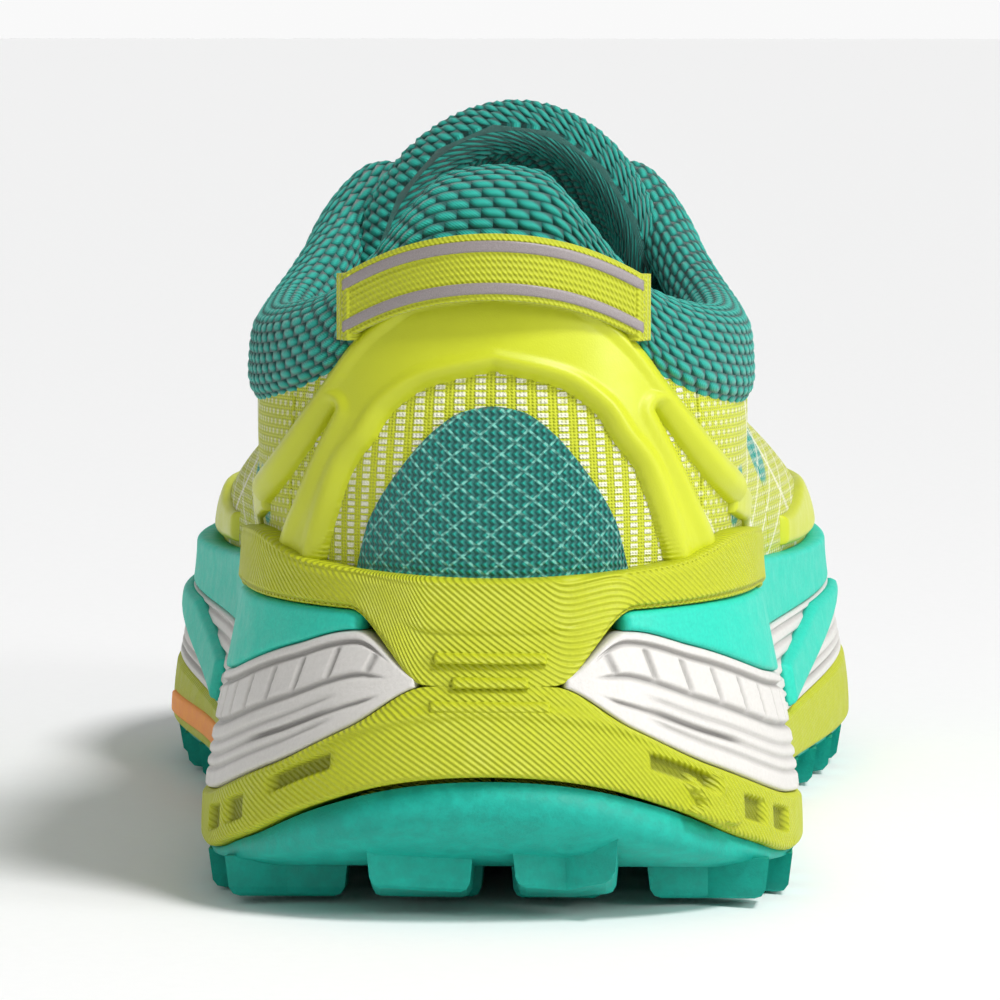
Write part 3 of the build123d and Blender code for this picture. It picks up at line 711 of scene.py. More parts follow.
def webbing_material(name, base, shade, rib=1.0):
    """Woven tape with ribs along its width and painted shade in the grooves between them."""
    m = Shader(name, rough=0.62, sheen=0.2)
    u, v = m.flat()
    ribs = m.wave(v, rib)
    twill = m.wave(m.plus(u, m.times(v, 0.8)), 0.8)
    height = m.plus(ribs, m.times(twill, 0.6))
    # Darker where the ribs and twill are low: painted shade in the grooves.
    m.color(m.mix(m.times(m.minus(1.6, height), 0.35), m.varied(base, 0.08), shade))
    m.bump(height, 0.22, 0.9)
    return m.material


def tape_material():
    """Grey reflective tape: fine beads and a soft shine."""
    m = Shader("reflective_grey", rough=0.35, specular=0.7)
    beads = m.noise(m.place(), 6.0, 2.0)
    m.color(m.mix(beads, (0.17, 0.14, 0.14, 1.0), (0.36, 0.32, 0.32, 1.0)))
    m.bump(beads, 0.06, 0.6)
    return m.material


def liner_material(name, base, shade):
    """Brushed lining knit with a small open mesh, with painted shade in its holes."""
    m = Shader(name, rough=0.85, sheen=0.3)
    u, v = m.flat()
    holes = m.times(m.wave(u, 1.6), m.wave(v, 1.6))
    # The holes are mixed towards the shade colour: painted shade where the mesh is open.
    m.color(m.mix(m.range(holes, 0.5, 0.95), base, shade))
    m.bump(m.minus(1.0, holes), 0.25, 0.8)
    return m.material


# ---------------------------------------------------------------- camera, light and floor


def make_camera():
    """Behind the heel, where the photograph's perspective puts the eye, turned to the shoe."""
    toe_out = math.radians(1.5)
    aside, behind, eye_height = 70.0, 1100.0, 156.0
    x = spine_x + aside * math.cos(toe_out) - behind * math.sin(toe_out)
    y = -HALF_LENGTH - aside * math.sin(toe_out) - behind * math.cos(toe_out)
    eye = Vector((x, y, eye_height)) * 0.001
    aim = Vector((spine_x + 1.5, -HALF_LENGTH, 64.0)) * 0.001
    camera = bpy.data.cameras.new("camera")
    camera.lens = 268.7
    camera.sensor_width = 36
    camera.clip_start = 0.01
    holder = add_object("camera", camera)
    holder.location = eye
    holder.rotation_euler = (aim - eye).to_track_quat("-Z", "Y").to_euler()
    bpy.context.scene.camera = holder


def area_light(name, spot, aim, size, power):
    """A round lamp at a spot in metres, turned to its aim."""
    light = bpy.data.lights.new(name, "AREA")
    light.shape = "DISK"
    light.size = size
    light.energy = power
    holder = add_object(name, light)
    holder.location = Vector(spot)
    holder.rotation_euler = (Vector(aim) - holder.location).to_track_quat("-Z", "Y").to_euler()


def make_floor():
    """White paper a hair below the tread."""
    floor_mesh = bpy.data.meshes.new("floor")
    half = 6.0
    corners = [(-half, -half), (half, -half), (half, half), (-half, half)]
    floor_mesh.from_pydata([(x, y, -0.0004) for x, y in corners], [], [(0, 1, 2, 3)])
    paper = Shader("paper", rough=0.9, specular=0.2)
    grain = paper.noise(paper.place(), 0.4, 3.0)
    paper.color(paper.mix(grain, (0.90, 0.90, 0.90, 1.0), (0.93, 0.93, 0.93, 1.0)))
    floor_mesh.materials.append(paper.material)
    add_object("floor", floor_mesh)


def make_world():
    """Soft white light that is brightest near the horizon."""
    world = bpy.data.worlds.new("studio")
    world.use_nodes = True
    nodes, links = world.node_tree.nodes, world.node_tree.links
    backdrop = nodes["Background"]
    where = nodes.new("ShaderNodeTexCoord")
    split = nodes.new("ShaderNodeSeparateXYZ")
    fade = nodes.new("ShaderNodeMapRange")
    links.new(where.outputs["Generated"], split.inputs[0])
    links.new(split.outputs[2], fade.inputs["Value"])
    for socket, value in (("From Min", 0.06), ("From Max", 0.3), ("To Min", 0.95), ("To Max", 0.38)):
        fade.inputs[socket].default_value = value
    backdrop.inputs["Color"].default_value = (1, 1, 1, 1)
    links.new(fade.outputs[0], backdrop.inputs["Strength"])
    bpy.context.scene.world = world


def make_stage():
    make_floor()
    make_world()
    sun = bpy.data.lights.new("key", "SUN")
    sun.energy = 2.3
    sun.angle = math.radians(14)
    add_object("key", sun).rotation_euler = Vector((-0.5, 0.42, -0.85)).to_track_quat("-Z", "Y").to_euler()
    area_light("strip", (0.7, -0.5, 0.35), (0, -0.08, 0.06), 0.3, 2.5)
    bpy.context.scene.view_settings.view_transform = "Standard"


# ---------------------------------------------------------------- shapes shared by many pieces


def normals(grid, closed=False):
    """Unit normals of a grid of points; closed rows wrap round."""
    along = np.gradient(grid, axis=0)
    if closed:
        across = np.roll(grid, -1, 1) - np.roll(grid, 1, 1)
    else:
        across = np.gradient(grid, axis=1)
    normal = np.cross(along, across)
    return normal / np.maximum(np.linalg.norm(normal, axis=-1, keepdims=True), 1e-9)


def scales(u, v, width=2.9, height=1.6):
    """Staggered rounded bumps, 0 to 1, like the scales of a thick knit."""
    row = np.floor(v / height)
    x = np.mod(u / width + 0.5 * np.mod(row, 2), 1.0) - 0.5
    y = np.mod(v / height, 1.0) - 0.5
    return np.clip(1 - (2.1 * np.abs(x + 0.35 * y)) ** 3 - (1.9 * np.abs(y)) ** 2, 0, 1)


def round_loop(corners, count):
    """Points spread evenly round a smooth closed curve through corner points, for every row."""
    size = corners.shape[1]
    t = np.linspace(0, size, 12 * size, endpoint=False)
    i = t.astype(int)
    f = (t - i)[None, :, None]
    a, b, c, d = (corners[:, (i + k) % size] for k in (-1, 0, 1, 2))
    curve = 0.5 * (2 * b + (c - a) * f + (2 * a - 5 * b + 4 * c - d) * f**2 + (3 * b - a - 3 * c + d) * f**3)
    gaps = np.linalg.norm(np.roll(curve, -1, 1) - curve, axis=-1)
    even = np.empty((len(corners), count, 3))
    for row in range(len(corners)):
        run = np.concatenate([[0], np.cumsum(gaps[row])])
        at = np.linspace(0, run[-1], count, endpoint=False)
        ring = np.vstack([curve[row], curve[row, :1]])
        for axis in range(3):
            even[row, :, axis] = np.interp(at, run, ring[:, axis])
    return even


def tube_faces(columns, rows):
    """Faces of a tube of closed rows, with both ends capped."""
    faces = []
    for i in range(columns - 1):
        for j in range(rows):
            k = (j + 1) % rows
            faces.append((i * rows + j, (i + 1) * rows + j, (i + 1) * rows + k, i * rows + k))
    faces.append(tuple(range(rows)))
    faces.append(tuple((columns - 1) * rows + j for j in range(rows - 1, -1, -1)))
    return faces


def pad(name, corners, material, body, count, knit):
    """A padded roll through rows of corner points, with knit scales raised on it."""
    grid = round_loop(corners, count)
    across = np.linalg.norm(np.diff(grid, axis=0), axis=-1).mean(1)
    u = np.concatenate([[0], np.cumsum(across)])[:, None] + np.zeros(grid.shape[:2])
    ring = np.linalg.norm(np.roll(grid, -1, 1) - grid, axis=-1)
    v = np.cumsum(ring, 1) - ring[:, :1]
    normal = normals(grid, closed=True)
    centre = grid.mean(1, keepdims=True)
    outward = np.sign(((grid - centre) * normal).sum(-1).mean())
    ends = np.minimum(np.arange(len(grid)), np.arange(len(grid))[::-1])[:, None]
    fade = np.clip(ends / 6, 0, 1)
    swell = knit * (scales(u, v) - 0.5) + 0.35 * np.sin(u / 9.0) * np.sin(v / 7.0 + 1.0)
    grid = grid + normal * (outward * swell * fade)[..., None]
    points = grid.reshape(-1, 3)
    faces = tube_faces(*grid.shape[:2])
    if outward < 0:
        faces = [face[::-1] for face in faces]
    uv = np.stack([u, v], -1).reshape(-1, 2)
    piece = make_piece(name, points, faces, material, body, uv)
    return piece


PLATE_ROWS = 14


def plate(name, stations, bottom, top, depth, material, radius=1.2, rows=PLATE_ROWS, extra=None):
    """A layer across the whole shoe between two height curves along Y, rounded at its edge."""
    shares = 1 - (1 - np.linspace(0, 1, rows)) ** 1.6
    foot, inward, reach = section_plane(stations)
    edge = depth(stations)
    columns = []
    for curve, sign in ((bottom, 1), (top, -1)):
        at = edge[:, None] + (reach - edge)[:, None] * shares[None, :]
        flat = foot[:, None] + inward[:, None] * at[..., None]
        gap = (at - edge[:, None]) / radius
        drop = radius * (1 - np.sqrt(np.clip(1 - np.clip(1 - gap, 0, 1) ** 2, 0, 1)))
        tallness = (top(flat[..., 1]) - bottom(flat[..., 1])) * 0.45
        z = curve(flat[..., 1]) + sign * np.minimum(drop, tallness)
        columns.append(np.concatenate([flat, z[..., None]], -1))
    ring = np.concatenate([columns[0][:, ::-1], columns[1]], 1)
    count = ring.shape[1]
    points = [ring.reshape(-1, 3)]
    faces = tube_faces(*ring.shape[:2])
    uv = [ring.reshape(-1, 3)[:, :2] + ring.reshape(-1, 3)[:, 2:]]
    start = len(stations) * count
    for block_points, block_faces in extra or ():
        points.append(block_points)
        faces += [tuple(start + k for k in face) for face in block_faces]
        uv.append(block_points[:, :2] + block_points[:, 2:])
        start += len(block_points)
    return make_piece(name, np.vstack(points), faces, material, "shoe", np.vstack(uv))


# ---------------------------------------------------------------- the sole


def round_the_toe(start, end, count):
    """Stations from the medial side's start round the toe to the same place on the lateral side."""
    half = np.linspace(start, end, count)
    return np.concatenate([half, -half[::-1]])


def side_x(side, y):
    """The outline's x on one side at a distance y along the shoe."""
    shares = np.linspace(0.03, 0.97, 240)
    line = side(shares)
    return float(np.interp(y, line[:, 1], line[:, 0]))


def lug_block(outline_points):
    """A lug with tapered walls and a softened tread face."""
    base = np.array(outline_points, float)
    centre = base.mean(0)
    rings = []
    for shrink, share in ((0.0, LUG_ROOT / LUG_DEPTH), (0.06, -0.72), (0.13, -0.93), (0.24, -1.0)):
        flat = base + (centre - base) * shrink
        rings.append(np.column_stack([flat, rubber_bottom(flat[:, 1]) + share * LUG_DEPTH]))
    count = len(base)
    faces = []
    for ring in range(len(rings) - 1):
        for k in range(count):
            a, b = ring * count + k, ring * count + (k + 1) % count
            faces.append((a, a + count, b + count, b))
    faces.append(tuple((len(rings) - 1) * count + k for k in range(count - 1, -1, -1)))
    faces.append(tuple(range(count)))
    return np.vstack(rings), faces


REAR_ROW_Y = -130.0  # the rearmost row has two broad chevrons only


def lug_blocks(start, end):
    """The tread: a wide block at each edge and two chevrons between, row by row."""
    pitch, length, notch = 16.5, 9.5, 2.2
    blocks = []
    for row in range(int((end - start) // pitch)):
        y = start + pitch * (row + 0.5)
        left, right = side_x(lateral_side, y), side_x(medial_side, y)
        span = right - left
        wide = span * 0.22
        lugs = [
            (left + span * 0.39, span * 0.17, 4.5),
            (right - span * 0.39, span * 0.17, -4.5),
            (left + wide * 0.5 + 1, wide, 2.5),
            (right - wide * 0.5 - 1, wide, -2.5),
        ]
        if y < REAR_ROW_Y:
            lugs = [((left + right) / 2 + offset, 16.0, -offset / 3) for offset in (-11.0, 11.0)]
        for at, width, lean in lugs:
            near, far = -length / 2, length / 2
            corners = [
                (-width / 2, near), (0, near + notch), (width / 2, near + lean),
                (width / 2, far + lean), (0, far + notch), (-width / 2, far),
            ]
            blocks.append(lug_block([(at + x, y + dy) for x, dy in corners]))
    return blocks


def make_outsole(mats):
    heel_end, forefoot_start = 0.44, 0.545
    loop_heel = np.linspace(-heel_end, heel_end, 240)
    loop_toe = round_the_toe(forefoot_start, TOE_END, 140)
    for name, loop, low, high in (
        ("outsole_heel", loop_heel, -143, -22), ("outsole_forefoot", loop_toe, 12, 143),
    ):
        piece = plate(
            f"{name}_skin", loop, rubber_bottom, rubber_top, lambda s: 1.0 + 0 * s,
            mats["rubber_teal"], extra=lug_blocks(low, high),
        )
        piece.data.shade_flat()
        skin_faces = len(loop) * (2 * PLATE_ROWS - 1)
        shading = [i < skin_faces for i in range(len(piece.data.polygons))]
        piece.data.polygons.foreach_set("use_smooth", shading)
        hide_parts(name)


def heel_wedge_relief(station, share, height):
    """A ladder of blocks under the top edge and a fan of fine grooves below it."""
    along = (np.abs(station) - 0.035) * SIDE_LENGTH
    lines = dip(share, 0.55, 0.05) + dip(share, 0.89, 0.045)
    ladder = between(share, 0.57, 0.87, 0.04)
    slots = dip(np.mod(along + 5.0 * share, 7.5), 3.75, 0.9) * ladder
    fan = dip(np.mod(share * 9.0, 1.0), 0.5, 0.34) * (1 - step_up(share, 0.42, 0.48))
    fan = fan * step_up(share, 0.08, 0.13) * step_up(along, 12, 17)
    notch = dip(share - 0.22 - along * 0.002, 0.0, 0.04) * step_up(along, 4, 8) * (1 - step_up(along, 30, 36))
    ends = step_up(along, 4, 9)
    return -(0.9 * lines + 0.8 * slots + 0.5 * fan + 0.8 * notch) * ends


def side_wall_relief(station, share, height):
    """Long parallel grooves along the panel with a deeper line near its lower edge."""
    fan = dip(np.mod(share * 6.0, 1.0), 0.5, 0.3) * step_up(share, 0.2, 0.26)
    return -(0.55 * fan + 0.8 * dip(share, 0.14, 0.05))


def band_relief(station, share, height):
    """The lower band: a raised rim along the heel's arch, windows and a star-like tooth."""
    x = np.abs(station) * SIDE_LENGTH
    base = rubber_top(place(station, np.zeros(station.shape), 0.0)[..., 1])
    level = height - base
    windows = between(x, 24, 37, 1.0) * between(level, 3.2, 6.3, 0.7)
    low_windows = (between(x, 44, 51, 1.0) + between(x, 54, 61, 1.0)) * between(level, 1.4, 5.7, 0.7)
    across, up = station * SIDE_LENGTH - 36.0, level - 1.0
    angle, reach = np.arctan2(up, across), np.hypot(up, across)
    spikes = 4.6 + 1.7 * np.cos(angle * 5)
    tooth = (1 - step_up(reach, spikes - 0.9, spikes)) * step_up(station, 0.02, 0.03)
    rim = 1 - step_up(share, 0.9, 0.97)
    arch = dip(level, 8.6, 1.5) * (1 - step_up(x, 28, 36))
    return 0.7 * arch - 1.2 * windows - 1.2 * low_windows * (1 - tooth) + 1.4 * tooth + 0.3 * rim


def cradle_relief(station, share, height):
    """A soft rolled lip along the cradle's top and a line along its lower edge."""
    lip = dip(share, 0.97, 0.08) * 0.5
    return lip - 0.45 * dip(share, 0.1, 0.06) * step_up(np.abs(station), 0.04, 0.07)


def side_band_top(s):
    under = cradle_bottom(np.minimum(s, 0.42)) - 0.15
    over = cradle_top(s) - 0.5
    return under + (over - under) * step_up(s, 0.41, 0.47)


def cradle_foot(s):
    """The cradle's lower edge, run into the lower band at the waist."""
    return cradle_bottom(s) - 0.7 * (1 - step_up(s, 0.028, 0.05))


def band_foot(s):
    """The lower band's lower edge, just inside the rubber's top."""
    return (rubber_top(lateral_side(s)[..., 1]) + rubber_top(medial_side(s)[..., 1])) / 2 - 1.1


def panel_foot(s):
    return band_top(s) + PANEL_GAP


def panel_head(s):
    return wedge_top(s) - PANEL_GAP


def make_foam_rings(mats):
    """The lower band all round and the heel cradle, which meet at the heel's waist."""
    band = wall(
        "lower_band_skin", -0.999, 0.999, band_foot, band_top, mats["foam_lime"], columns=900, rows=46,
        relief=band_relief, backing=8.0, radius=1.0, merge=1,
    )
    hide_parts("lower_band")
    cradle = wall(
        "cradle_skin", -0.42, 0.42, cradle_foot, cradle_top, mats["foam_lime"], columns=420, rows=50,
        radius=1.8, relief=cradle_relief, backing=5.5, proud=0.5, merge=-1,
    )
    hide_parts("midsole_cradle")


def make_side_foam(mats, side, name):
    """One side of the sole: the white panels, the teal band over them and the teal rib."""
    for part, start, end, relief in (
        ("heel_wedge", 0.034, 0.3, heel_wedge_relief),
        ("midfoot_wall", 0.3015, 0.4585, side_wall_relief),
        ("forefoot_wedge", 0.46, 0.86, side_wall_relief),
        ("toe_wall", 0.8615, 0.999, side_wall_relief),
    ):
        piece = wall(
            f"{part}_{name}_skin", side * start, side * end, panel_foot, panel_head,
            mats["foam_white"], columns=260, rows=72, relief=relief, backing=5.0,
        )
        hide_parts(f"{part}_{name}")
    foam = wall(
        f"side_band_{name}_skin", side * 0.068, side * 0.999, wedge_top, side_band_top,
        mats["foam_teal"], columns=320, rows=24, radius=1.0, backing=5.0,
    )
    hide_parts(f"side_band_{name}")
    start, slope = 0.52, 52.0
    rib = wall(
        f"wedge_chevron_{name}_skin", side * start, side * 0.72,
        lambda s: band_top(s) + 1 + slope * (s - start),
        lambda s: np.minimum(band_top(s) + 8 + slope * (s - start), wedge_top(s) - 0.4),
        mats["foam_teal"], columns=60, rows=14, radius=1.2, backing=0.5, proud=1.6,
    )
    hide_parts(f"wedge_chevron_{name}")


def make_sole_trim(mats):
    """The orange insert and the three raised bars on the heel's waist."""
    accent = wall(
        "sole_accent_skin", -0.5, -0.66, lambda s: 8.7 + 0 * s, lambda s: 12.6 + 0 * s,
        mats["accent_orange"], columns=70, rows=10, radius=0.6, backing=0.4, proud=0.9,
    )
    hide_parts("sole_accent_lateral")
    for height, half in ((39.9, 0.026), (36.4, 0.017), (32.9, 0.026)):
        bar = wall(
            f"heel_bar_{height:.0f}", -half, half, lambda s: height - 0.8 + 0 * s,
            lambda s: height + 0.8 + 0 * s, mats["foam_lime"], columns=50, rows=10, radius=0.7,
            backing=0.4, proud=1.25,
        )
        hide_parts("heel_bars")


def make_sole(mats):
    make_foam_rings(mats)
    for side, name in SIDES:
        make_side_foam(mats, side, name)
    make_sole_trim(mats)
    core = plate(
        "core_skin", round_the_toe(0.001, 0.999, 120), lambda y: rubber_top(y) + 0.2,
        lambda y: footbed(y) - 1.5, lambda s: core_depth(s) - 1.5, mats["foam_lime"],
    )
    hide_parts("midsole_core")


def make_inside(mats):
    """The board and the sockliner that the foot stands on."""
    loop = round_the_toe(0.001, 0.999, 120)
    board = plate(
        "strobel_board_skin", loop, lambda y: footbed(y) - 1.3, footbed,
        lambda s: core_depth(s) + 2.4, mats["board"], radius=0.4,
    )
    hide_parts("strobel_board")
    liner = plate(
        "sockliner_pad", loop, lambda y: footbed(y) + 0.1,
        lambda y: footbed(y) + 4.1 + 0.25 * np.sin(y / 11.0), lambda s: core_depth(s) + 5.0,
        mats["liner_knit"], radius=2.0, rows=30,
    )
    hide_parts("sockliner")


# ---------------------------------------------------------------- the upper


def teal_patches(points):
    """Teal ovals and slanted windows low on the quarter."""
    y, z = points[..., 1], points[..., 2]
    total = np.zeros(y.shape)
    for centre_y, centre_z, long, tall, lean in (
        (-104, 61, 5, 5, 0.2), (-70, 75, 5, 9, -0.5), (-50, 66, 6, 8, -0.5), (-26, 82, 6, 12, -0.4),
        (0, 72, 7, 11, -0.3), (24, 60, 8, 8, -0.2),
    ):
        along = (y - centre_y - lean * (z - centre_z)) / long
        total = np.maximum(total, 1 - step_up(np.hypot(along, (z - centre_z) / tall), 0.85, 1.0))
    return total


def cream_lines(points):
    """Cream stripes that cross the quarter, and finer lines the other way."""
    y, z = points[..., 1], points[..., 2]
    broad = 1 - step_up(np.abs(np.mod(y * 0.8 + z * 0.85, 30.0) - 15.0), 0.55, 1.0)
    fine = 1 - step_up(np.abs(np.mod(y * 0.5 - z * 0.9, 7.0) - 3.5), 0.14, 0.42)
    fine = fine * step_up(y, -84, -70) * (1 - step_up(z, 68, 80))
    return np.maximum(broad, fine)


def heel_stripes(points):
    """1 where the heel panel carries columns of white bars."""
    return 1 - step_up(np.abs(points[..., 0] - spine_x), 28, 29)


def vamp_top(s):
    closed = step_up(s, THROAT_END - 0.004, THROAT_END + 0.012)
    return (opening_v(s) - 0.002) * (1 - closed) + closed


eyestay_low = smooth([(s, v_where(s, 0, 0.42)) for s in np.linspace(0.4, 0.64, 13)])
wing_low = height_v([(0.17, 59), (0.2, 57.5), (0.25, 55.5), (0.32, 51)])
wing_high = height_v([(0.17, 65.5), (0.2, 63), (0.25, 60), (0.32, 53.5)])
rand_low = height_v([(0.6, 41), (0.78, 41), (0.9, 45), (1, 51)])
rand_high = height_v([(0.6, 46), (0.7, 49), (0.85, 51), (0.95, 57), (1, 59.5)])


def make_side_mesh(mats, side, name):
    """The quarter, half of the vamp and the quarter's lining."""
    mesh = mats["mesh_lime"]
    masks = {"teal": teal_patches, "cream": cream_lines}
    quarter = panel(
        f"quarter_{name}_mesh", side * QUARTER_START, side * QUARTER_END, feather_v, quarter_top, 0.0, PANEL,
        mesh, columns=300, rows=130, masks=masks,
    )
    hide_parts(f"quarter_{name}")
    toe = panel(
        f"vamp_{name}_mesh", side * VAMP_START, side * TOE_END, feather_v, vamp_top, 0.0, PANEL,
        mesh, columns=220, rows=110, radius=0.15, masks=masks,
    )
    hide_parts("vamp")
    lining = panel(
        f"lining_{name}_knit", side * QUARTER_START, side * QUARTER_END, feather_v,
        lambda s: quarter_top(s) - 0.03, -2.6, -1.6, mats["liner_knit"], columns=120, rows=40,
    )
    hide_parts(f"lining_{name}")


def make_side_films(mats, side, name):
    """The eyestay with its lace loops, the wing overlay and half of the toe rand."""
    stay = panel(
        f"eyestay_{name}_film", side * 0.415, side * 0.625, eyestay_low,
        lambda s: opening_v(s) + 0.012, 0.6, 2.0, mats["tpu_lime"], columns=120, rows=24,
    )
    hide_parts(f"eyestay_{name}")
    wing = panel(
        f"wing_overlay_{name}_film", side * 0.176, side * 0.315, wing_low, wing_high, 0.6, 2.3,
        mats["tpu_lime"], columns=110, rows=30, radius=1.2,
    )
    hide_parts(f"wing_overlay_{name}")
    for i in range(6):
        at = 0.457 + 0.0285 * i
        loop = panel(
            f"eyelet_loop_{name}_{i + 1}", side * (at - 0.009), side * (at + 0.009),
            lambda s: eyestay_low(s) + 0.02, lambda s: opening_v(s) + 0.004, 1.6, 3.4,
            mats["lace_cream"], columns=16, rows=24,
        )
        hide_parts(f"eyelet_loops_{name}")
    rand = panel(
        f"toe_rand_{name}_film", side * 0.6, side * TOE_END, rand_low, rand_high, 0.6, 2.5,
        mats["tpu_lime"], columns=160, rows=24, radius=1.4,
    )
    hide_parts("toe_rand")


def make_quarters(mats):
    for side, name in SIDES:
        make_side_mesh(mats, side, name)
        make_side_films(mats, side, name)


overlay_foot = height_v([(0, 48), (0.15, 50), (0.19, 50)])
dome_low = height_v([(0, 49), (0.09, 50)])
dome_high = height_v([(0, 76.8), (0.0175, 76), (0.033, 73.3), (0.051, 67.8), (0.0685, 60.3), (0.081, 51)])

# The heel overlay seen from behind: the height of each edge by its distance from the middle.
ARCH_INNER = [
    (0, 82.3), (9.6, 80), (15.5, 76), (18.5, 71.5), (21.5, 67.5), (23.5, 62.5), (26.4, 52), (27, 48),
]
ARCH_OUTER = [(0, 96), (12, 94), (18, 90), (22, 86), (26, 80.5), (30, 75), (34, 69.5), (39, 63)]
BRANCH_LOW = [(24.5, 76), (29, 69.5), (33, 64), (39, 56.5)]
LEG_OUTER = [(24.5, 76), (28, 69), (31, 62), (33.4, 56), (35, 48)]


def curve_distance(x, z, knots):
    """Distance in millimetres from points to a curve through (x, z) knots, and its height at x."""
    curve = smooth(knots, level_ends=False)
    xs = np.linspace(knots[0][0], knots[-1][0], 160)
    zs = curve(xs)
    nearest = np.full(x.shape, 1e9)
    for a, b in zip(xs, zs):
        nearest = np.minimum(nearest, np.hypot(x - a, z - b))
    return nearest, curve(x)


def overlay_height(station, v):
    """1 on the moulded overlay and 0 off it, with rounded shoulders and a raised rim."""
    points = layer_point(station, v, 2.0)
    away, z = np.abs(points[..., 0] - spine_x), points[..., 2]
    gap, edge = curve_distance(away, z, ARCH_INNER)
    off_hole = np.where((z < edge) & (away < ARCH_INNER[-1][0]), -gap, gap)
    gap, edge = curve_distance(away, z, ARCH_OUTER)
    below_top = np.where(z < edge, gap, -gap)
    gap_low, branch = curve_distance(away, z, BRANCH_LOW)
    gap_leg, leg = curve_distance(away, z, LEG_OUTER)
    in_notch = (z < branch) & (z > leg) & (away > LEG_OUTER[0][0])
    off_notch = np.where(in_notch, -1.0, 1.0) * np.minimum(gap_low, gap_leg)
    inside = np.minimum(np.minimum(off_hole, off_notch), below_top)
    t = np.clip(inside / 1.6, 0, 1)
    return np.sqrt(1 - (1 - t) ** 2) + dip(inside, 2.0, 1.4) * 0.2


def make_heel(mats):
    heel = panel(
        "heel_panel_mesh", -HEEL_SEAM, HEEL_SEAM, feather_v, lambda s: collar_v(s) + 0.02, 0.0, PANEL,
        mats["mesh_lime"], columns=220, rows=140,
        masks={"stripe": heel_stripes, "teal": teal_patches, "cream": lambda points: 0 * points[..., 0]},
    )
    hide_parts("heel_panel")
    lining = panel(
        "heel_lining_knit", -HEEL_SEAM, HEEL_SEAM, feather_v, lambda s: collar_v(s) - 0.02, -2.6, -1.6,
        mats["liner_knit"], columns=120, rows=40,
    )
    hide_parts("heel_lining")
    overlay = panel(
        "heel_overlay_film", -0.182, 0.182, overlay_foot, lambda s: collar_v(s) + 0.005, 0.1, 0.4,
        mats["tpu_lime"], columns=380, rows=150, radius=0.1,
        relief=lambda s, v: 2.5 * overlay_height(s, v),
    )
    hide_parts("heel_overlay")
    dome = panel(
        "heel_dome_weave", -0.0805, 0.0805, dome_low, dome_high, 0.6, 2.1, mats["woven_teal"],
        columns=120, rows=80, radius=1.3,
    )
    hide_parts("heel_dome")


def make_collar(mats):
    """The padded collar: full at the rim, thin at the seam below it."""
    stations = np.linspace(-0.405, 0.405, 620)
    s = np.abs(stations)
    thick = smooth([(0, 9), (0.15, 8.5), (0.28, 7.5), (0.36, 6.5), (0.405, 4)])(s)
    low, high = collar_v(s) - 0.012, opening_v(s)
    rim_v = high - (high - low) * 0.22
    middle_v = (low + rim_v) / 2
    bulge = smooth([(0, 2.6), (0.12, 2.2), (0.2, 1.2), (0.33, 1.2), (0.37, 2.2), (0.405, 1.5)])(s)
    corners = [
        layer_point(stations, low, PANEL * 0.3),
        layer_point(stations, low + (middle_v - low) * 0.35, PANEL + bulge * 0.75),
        layer_point(stations, middle_v, PANEL + bulge),
        layer_point(stations, rim_v, PANEL + bulge * 0.6),
        layer_point(stations, high, -thick * 0.2),
        layer_point(stations, high, -thick * 0.62),
        layer_point(stations, rim_v, -thick),
        layer_point(stations, middle_v, -thick * 0.85),
        layer_point(stations, low, -thick * 0.4),
    ]
    collar = pad("collar_knit", np.stack(corners, 1), mats["knit_teal"], "shoe", count=100, knit=0.3)
    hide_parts("collar_pad")


def tongue_points(y, x_share, sink):
    """Points on the tongue's arch; x_share runs from -1 to 1 along it."""
    half = smooth([(-58, 25.5), (-44, 25), (-24, 21), (42, 19)])(y)
    tall = smooth([(-58, 30), (-44, 27), (-24, 12), (42, 9)])(y)
    angle = x_share * math.pi / 2 * 0.93
    x = spine_x + (half - sink * 0.8) * np.sin(angle)
    crown = ridge_by_y(y) - smooth([(-58, 0.5), (-40, 2.5), (-24, 5.0), (42, 6.0)])(y)
    z = crown - sink - (tall - sink * 0.5) * (1 - np.cos(angle))
    return np.stack([x, y + 0 * x, z], -1)


def make_tongue(mats):
    """One padded tongue over both CAD pieces, bending where its tip folds."""
    ys = np.concatenate([np.linspace(-57, -52.7, 16)[:-1], np.linspace(-52.7, TONGUE_BASE_Y, 220)])
    fill = smooth([(-57, 8.6), (-46, 8.4), (-30, 7), (TONGUE_BASE_Y, 3.5)])(ys)
    inset = np.clip(1 - (ys - ys[0]) / 4.3, 0, 1)
    full = fill * np.sqrt(np.clip(1 - inset**2, 0.02, 1))
    shares = [-1, -0.75, -0.5, -0.25, 0, 0.25, 0.5, 0.75, 1]
    corners = [tongue_points(ys, k, (fill - full) / 2) for k in shares]
    corners += [tongue_points(ys, k * 0.97, (fill + full) / 2) for k in shares[::-1]]
    tongue = pad("tongue_knit", np.stack(corners, 1), mats["knit_teal"], None, count=240, knit=0.5)
    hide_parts("tongue_base", "tongue_top")
    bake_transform(tongue)


# ---------------------------------------------------------------- laces and pull tab


